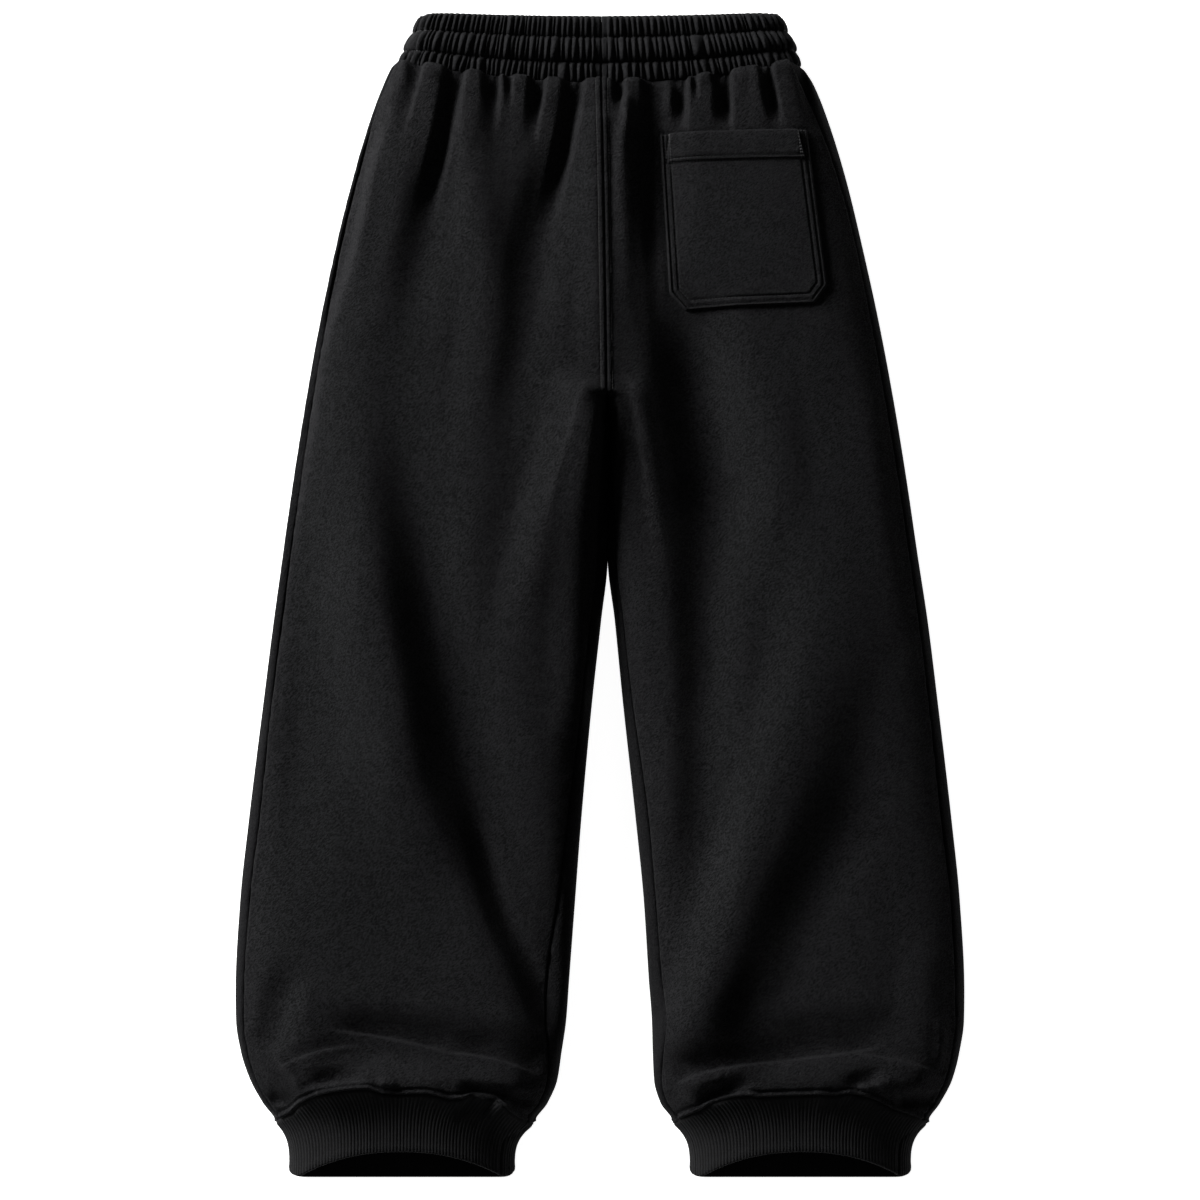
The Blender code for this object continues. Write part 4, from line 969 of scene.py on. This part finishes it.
def pocket_detail(across, down):
    """Relief of the pocket's turned edges, hem and stitched grooves."""
    edge, top = edge_distance(across, down)
    detail = -1.7 * np.exp(-(edge / 0.8)**2) - 1.4 * np.exp(-(top / 0.8)**2)
    detail += 0.5 * np.exp(-((edge - 1.7) / 0.8)**2)
    hem_end = edge - 5.0 - np.clip(POCKET_HEM - top, 0, POCKET_HEM) * 0.13    # its ends slant in
    in_hem = ease((POCKET_HEM + 2.0 - top) / 2.0)
    detail += 1.9 * in_hem * ease(hem_end / 1.2)
    detail += in_hem * seam_ditch(hem_end + 0.6, 1.2, 1.0)
    for row in POCKET_ROWS:
        detail += seam_ditch(edge - row, 1.35, 0.85) * (1 - in_hem * ease((edge - 4) / 2))
    for row in POCKET_HEM_ROWS:
        detail += seam_ditch(top - row, 1.5, 0.9) * ease((edge - 3) / 2)
    detail += 0.3 * uneven_line(101, 5.5, down) * np.exp(-((edge - 11) / 4)**2)
    detail += 0.3 * uneven_line(102, 5.5, across) * np.exp(-((top - 32) / 4)**2)
    return detail


def pocket(material):
    """Patch with a turned hem and double topstitching."""
    across, down, columns = pocket_lines()
    rest = pocket_rest(across, down)
    face = rest + POCKET_CLOTH + pocket_detail(across, down)
    points = [place(across, down, up).reshape(-1, 3) for up in (face, rest)]
    count = across.size
    numbers = np.arange(count).reshape(across.shape)
    faces = []
    for layer in (numbers, numbers + count):
        for first, second in zip(layer, layer[1:]):
            faces += bridge(first, second, columns, columns)
    for end in (0, -1):
        faces += bridge(numbers[end], numbers[end] + count, columns, columns)
        faces += bridge(numbers[:, end], numbers[:, end] + count, columns, columns)
    return add_piece("pocket_back_cloth", np.concatenate(points), faces, material)


# ---------------------------------------------------------------- sewing thread

def resample(line, normals, spacing):
    """Places every `spacing` millimetres along a line, with their directions and normals."""
    lengths = np.concatenate([[0], np.cumsum(np.linalg.norm(np.diff(line, axis=0), axis=1))]) / MM
    at = np.arange(spacing / 2, lengths[-1], spacing)

    def read(values, places):
        return np.stack([np.interp(places, lengths, values[:, k]) for k in range(3)], axis=1)

    way = unit(read(line, at + 0.6) - read(line, at - 0.6))
    out = read(normals, at)
    return read(line, at), way, unit(out - way * (out * way).sum(1, keepdims=True))


def stitches(name, lines, material, spacing=3.1, long=2.5, thick=0.62):
    """Rows of thread stitches along lines of (points, normals), joined in one mesh."""
    rings = ((-0.5, 0.25, -0.35), (-0.36, 0.85, 0.0), (0.0, 1.0, 0.18), (0.36, 0.85, 0.0),
             (0.5, 0.25, -0.35))
    shape = []
    for x, width, lift in rings:
        for k in range(STITCH_SIDES):
            a = 2 * math.pi * k / STITCH_SIDES
            shape.append((x * long, width * math.cos(a) * thick / 2,
                          (width * math.sin(a) * 0.75 + lift) * thick / 2))
    shape = np.array(shape)
    single = []
    for r in range(len(rings) - 1):
        for k in range(STITCH_SIDES):
            a, b = r * STITCH_SIDES + k, r * STITCH_SIDES + (k + 1) % STITCH_SIDES
            single.append([a, b, b + STITCH_SIDES, a + STITCH_SIDES])
    last = (len(rings) - 1) * STITCH_SIDES
    single.append(list(range(STITCH_SIDES))[::-1])
    single.append([last + k for k in range(STITCH_SIDES)])
    points, faces = [], []
    for line, normals in lines:
        spots, way, out = resample(line, normals, spacing)
        across = np.cross(out, way)
        for spot, w, a, o in zip(spots, way, across, out):
            start = len(points) * len(shape)
            points.append(spot + (shape[:, :1] * w + shape[:, 1:2] * a + shape[:, 2:] * o) * MM)
            faces += [[start + i for i in face] for face in single]
    return add_piece(name, np.concatenate(points), faces, material, 60)


def centre_stitch_line(half):
    """Topstitching at the edge of the welt beside the centre back seam."""
    nominal = np.linspace(BAND_SEAM + 3, CROTCH - 6, 500)
    inner, outer = half.ends(half.section(nominal))
    line = place(*half.point(CENTRE_WELT / (outer - inner), nominal))
    line[:, 2] += THREAD_LIFT * MM
    return line, np.tile([0.0, 0.0, 1.0], (len(line), 1))


def pocket_stitch_lines():
    """Topstitching along the pocket's edge and hem, and the little triangles at its corners."""
    corners = np.array(POCKET_CORNERS)

    def on_pocket(path):
        fine = []
        for a, b in zip(path, path[1:]):
            count = max(2, int(np.hypot(*(b - a))))
            fine.append(a + (b - a) * np.linspace(0, 1, count)[:, None])
        across, down = np.concatenate(fine).T
        up = pocket_rest(across, down) + POCKET_CLOTH + pocket_detail(across, down) + THREAD_LIFT
        return place(across, down, up), np.tile([0.0, 0.0, 1.0], (len(across), 1))

    sides = np.diff(corners, axis=0)
    inward = sides[:, ::-1] * (1, -1) / np.hypot(*sides.T)[:, None]
    lines = []
    for row in POCKET_ROWS:
        inset = []
        for i, corner in enumerate(corners):
            before, after = inward[max(i - 1, 0)], inward[min(i, len(inward) - 1)]
            inset.append(corner + row * (before + after) / (1 + before @ after))
        lines.append(on_pocket(np.array(inset)))
    first, last = corners[0], corners[-1]
    slope = (last - first) / np.hypot(*(last - first))
    down_way = np.array([-slope[1], slope[0]])
    for row in POCKET_HEM_ROWS:
        start, end = first + down_way * row, last + down_way * row
        lines.append(on_pocket(np.array([start + slope * 8.2, end - slope * 6.0])))
    for corner, way in ((first, 1), (last, -1)):
        top = corner + down_way * 1.6
        lines.append(on_pocket(np.array([top + slope * way * 2.0, top + slope * way * 9.0,
                                         corner + down_way * 26 + slope * way * 4.6])))
    return lines


def band_stitch_lines(ring, length):
    """Elastic rows in the grooves between the tunnels."""
    along = np.linspace(1.0, length - 1.0, 2600)
    lines = []
    for tunnel in TUNNELS[:-1]:
        points, out = band_surface(ring, length, along, np.full_like(along, tunnel["end"]))
        lines.append((points + out * BAND_THREAD_LIFT * MM, out))
    return lines


# ---------------------------------------------------------------- finishes

def linear(hexes):
    """sRGB hex to linear colour."""
    parts = [int(hexes[i:i + 2], 16) / 255 for i in (1, 3, 5)]
    return tuple(p / 12.92 if p <= 0.04045 else ((p + 0.055) / 1.055)**2.4 for p in parts) + (1.0,)


def add_node(material, kind, settings=None, links=None):
    """Adds a node with its settings and links; links are {input: (node, output)}."""
    node = material.node_tree.nodes.new(kind)
    for name, value in (settings or {}).items():
        if isinstance(name, int) or name in node.inputs:
            node.inputs[name].default_value = value
        else:
            setattr(node, name, value)
    for name, (source, output) in (links or {}).items():
        material.node_tree.links.new(source.outputs[output], node.inputs[name])
    return node


def new_material(name):
    """A material with an empty node tree."""
    material = bpy.data.materials.new(name)
    material.use_nodes = True
    material.node_tree.nodes.clear()
    return material


def brushed_fleece(name, nap_hex, shade_hex, nap_mm=1.15, nap_height=1.7):
    """Cotton-rich loopback fleece, napped with wire rollers: a matt face speckled with fibre tufts,
    laid over at a slant, with a faint pale bloom where the light grazes their ends.  Real tufts
    are about 0.8 mm apart and are drawn `nap_mm` apart, so that they show: 1.15 mm, or 1.3 mm on
    the shirred band, where the cloth is drawn tight and its tufts lie lower."""
    material = new_material(name)
    spot = add_node(material, "ShaderNodeTexCoord")
    slant = add_node(material, "ShaderNodeMapping",
                     {"vector_type": "TEXTURE", "Rotation": (0.0, 0.0, math.radians(40)),
                      "Scale": (2.2, 0.85, 1.0)},
                     {"Vector": (spot, "Object")})
    tufts = add_node(material, "ShaderNodeTexNoise",
                     {"Scale": 1 / (nap_mm * MM), "Detail": 2.0, "Roughness": 0.5,
                      "Distortion": 0.6},
                     {"Vector": (slant, "Vector")})
    clumps = add_node(material, "ShaderNodeTexNoise",
                      {"Scale": 1 / (nap_mm * 7 * MM), "Detail": 3.0, "Roughness": 0.6},
                      {"Vector": (spot, "Object")})
    mottle = add_node(material, "ShaderNodeMath", {"operation": "MULTIPLY_ADD", 1: 0.2},
                      {0: (clumps, "Fac"), 2: (tufts, "Fac")})
    tone = add_node(material, "ShaderNodeValToRGB", {}, {"Fac": (mottle, "Value")})
    tone.color_ramp.elements[0].position = 0.48
    tone.color_ramp.elements[0].color = linear(shade_hex)
    tone.color_ramp.elements[1].position = 0.72
    tone.color_ramp.elements[1].color = linear(nap_hex)
    fuzz = add_node(material, "ShaderNodeBump", {"Strength": 1.0, "Distance": nap_height * MM},
                    {"Height": (tufts, "Fac")})
    face = add_node(material, "ShaderNodeBsdfPrincipled",
                    {"Roughness": 0.95, "Specular IOR Level": 0.05, "Sheen Weight": 0.03,
                     "Sheen Roughness": 0.5, "Sheen Tint": linear("#8a8a8e")},
                    {"Base Color": (tone, "Color"), "Normal": (fuzz, "Normal")})
    add_node(material, "ShaderNodeOutputMaterial", {}, {"Surface": (face, "BSDF")})
    return material


def rib_knit(name):
    """Cotton rib with elastane, knitted and not napped: its columns of stitches are smoother than
    fleece.  Real courses are about 1 mm apart and are drawn 2.6 mm apart, so that they show."""
    material = new_material(name)
    spot = add_node(material, "ShaderNodeTexCoord")
    loops = add_node(material, "ShaderNodeTexNoise",
                     {"Scale": 1 / (1.1 * MM), "Detail": 3.0, "Roughness": 0.55},
                     {"Vector": (spot, "Object")})
    courses = add_node(material, "ShaderNodeTexWave",
                       {"Scale": 1 / (1.3 * MM) / 6.2832, "Distortion": 1.5, "Detail": 1.0,
                        "bands_direction": "Y"},
                       {"Vector": (spot, "Object")})
    both = add_node(material, "ShaderNodeMath", {"operation": "MULTIPLY_ADD", 1: 0.5},
                    {0: (courses, "Fac"), 2: (loops, "Fac")})
    tone = add_node(material, "ShaderNodeValToRGB", {}, {"Fac": (loops, "Fac")})
    tone.color_ramp.elements[0].position = 0.3
    tone.color_ramp.elements[0].color = linear("#121212")
    tone.color_ramp.elements[1].position = 0.7
    tone.color_ramp.elements[1].color = linear("#1e1e1f")
    stitch_bump = add_node(material, "ShaderNodeBump", {"Strength": 0.5, "Distance": 0.22 * MM},
                           {"Height": (both, "Value")})
    face = add_node(material, "ShaderNodeBsdfPrincipled",
                    {"Roughness": 0.9, "Specular IOR Level": 0.06, "Sheen Weight": 0.02,
                     "Sheen Roughness": 0.5, "Sheen Tint": linear("#8a8a8e")},
                    {"Base Color": (tone, "Color"), "Normal": (stitch_bump, "Normal")})
    add_node(material, "ShaderNodeOutputMaterial", {}, {"Surface": (face, "BSDF")})
    return material


def spun_polyester_thread(name):
    """Spun polyester, two plies twisted: a little smoother and shinier than the cloth."""
    material = new_material(name)
    spot = add_node(material, "ShaderNodeTexCoord")
    twist = add_node(material, "ShaderNodeTexNoise",
                     {"Scale": 1 / (0.5 * MM), "Detail": 2.0}, {"Vector": (spot, "Object")})
    tone = add_node(material, "ShaderNodeValToRGB", {}, {"Fac": (twist, "Fac")})
    tone.color_ramp.elements[0].color = linear("#161616")
    tone.color_ramp.elements[1].color = linear("#2b2b2c")
    face = add_node(material, "ShaderNodeBsdfPrincipled",
                    {"Roughness": 0.6, "Specular IOR Level": 0.3}, {"Base Color": (tone, "Color")})
    add_node(material, "ShaderNodeOutputMaterial", {}, {"Surface": (face, "BSDF")})
    return material


# ---------------------------------------------------------------- the garment

def dress(node):
    """Hides the CAD solid that a piece of cloth stands in for."""
    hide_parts(node)


def make_garment():
    fleece = brushed_fleece("brushed cotton fleece", "#202021", "#0b0b0c")
    # the front panels' side strips turn away from the light: their fleece is the same cloth as the
    # back's, drawn darker as painted shade
    shade_darkened_fleece = brushed_fleece("brushed cotton fleece, front", "#161617", "#0a0a0b")
    band_fleece = brushed_fleece("shirred cotton fleece", "#1c1c1d", "#0e0e0f", 1.3, 0.4)
    pocket_fleece = brushed_fleece("pocket fleece", "#212122", "#0c0c0d")
    knit = rib_knit("cotton rib knit")
    thread = spun_polyester_thread("spun polyester thread")

    for half in HALVES:
        back = back_panel(half, fleece)
        dress("back_" + half.name)
        front = front_panel(half, shade_darkened_fleece)
        dress("front_" + half.name)
        tube = cuff(half, knit)
        dress("cuff_" + half.name)
    band, ring, length = waistband(band_fleece)
    dress("waistband")
    patch = pocket(pocket_fleece)
    dress("pocket_back")

    for half in HALVES:
        rows = stitches("centre_seam_stitches_" + half.name, [centre_stitch_line(half)], thread)
    rows = stitches("pocket_stitches", pocket_stitch_lines(), thread, 3.0, 2.2, 0.85)
    rows = stitches("elastic_stitches", band_stitch_lines(ring, length), thread, 3.4, 2.4, 0.7)


# ---------------------------------------------------------------- floor, light and camera

FLOOR_SIZE = 30.0        # metres to each side, past the edge of every view
FLOOR_DROP = 0.0004      # it lies just under the cloth, so that the two don't share a plane


def make_floor():
    """A pale table under the garment."""
    mesh = bpy.data.meshes.new("floor")
    corners = [(x * FLOOR_SIZE, y * FLOOR_SIZE, 0) for x, y in ((-1, -1), (1, -1), (1, 1), (-1, 1))]
    mesh.from_pydata(corners, [], [(0, 1, 2, 3)])
    floor = bpy.data.objects.new("floor", mesh)
    bpy.context.scene.collection.objects.link(floor)
    floor.location.z = -FLOOR_DROP
    # opal acrylic, sanded matt and lit evenly from beneath, which lightens the shadows on it
    opal = new_material("opal acrylic table")
    face = add_node(opal, "ShaderNodeBsdfPrincipled",
                    {"Base Color": linear("#f4f4f4"), "Roughness": 0.9, "Specular IOR Level": 0.1,
                     "Emission Color": linear("#ffffff"), "Emission Strength": 0.95})
    add_node(opal, "ShaderNodeOutputMaterial", {}, {"Surface": (face, "BSDF")})
    mesh.materials.append(opal)


def aim(thing, target):
    """Turns a lamp or the camera to look at a place."""
    thing.rotation_euler = (Vector(target) - thing.location).to_track_quat("-Z", "Y").to_euler()


def area_light(name, location, target, size, power):
    """A soft box of so many metres and watts."""
    lamp = bpy.data.lights.new(name, "AREA")
    lamp.shape = "RECTANGLE"
    lamp.size, lamp.size_y = size
    lamp.energy = power
    holder = bpy.data.objects.new(name, lamp)
    holder.location = location
    bpy.context.scene.collection.objects.link(holder)
    aim(holder, target)


def make_light():
    """A low key light that rakes over the nap, a weak fill and a dim white room."""
    area_light("key from the upper left", (-3.4, 2.2, 1.32), (0.0, 0.0, 0.0), (2.6, 1.2), 515)
    area_light("fill from the right", (3.0, -1.4, 3.4), (0.0, 0.0, 0.0), (3.0, 3.0), 3)
    world = bpy.data.worlds.new("studio")
    bpy.context.scene.world = world
    world.use_nodes = True
    back = world.node_tree.nodes["Background"]
    back.inputs["Color"].default_value = (1.0, 1.0, 1.0, 1.0)
    back.inputs["Strength"].default_value = 0.08
    bpy.context.scene.view_settings.view_transform = "Standard"


CAMERA_TILT = 10.0       # degrees from straight down, towards the feet
CAMERA_DISTANCE = 3.64
CAMERA_AIM = (0.0, -0.0183, 0.025)


def make_camera():
    """A long lens from above, tilted a little towards the feet."""
    data = bpy.data.cameras.new("camera")
    data.lens = 120
    data.sensor_width = 36
    camera = bpy.data.objects.new("camera", data)
    tilt = math.radians(CAMERA_TILT)
    camera.location = Vector(CAMERA_AIM) + CAMERA_DISTANCE * Vector(
        (0.0, -math.sin(tilt), math.cos(tilt)))
    aim(camera, CAMERA_AIM)
    bpy.context.scene.collection.objects.link(camera)
    bpy.context.scene.camera = camera


make_garment()
make_floor()
make_light()
make_camera()
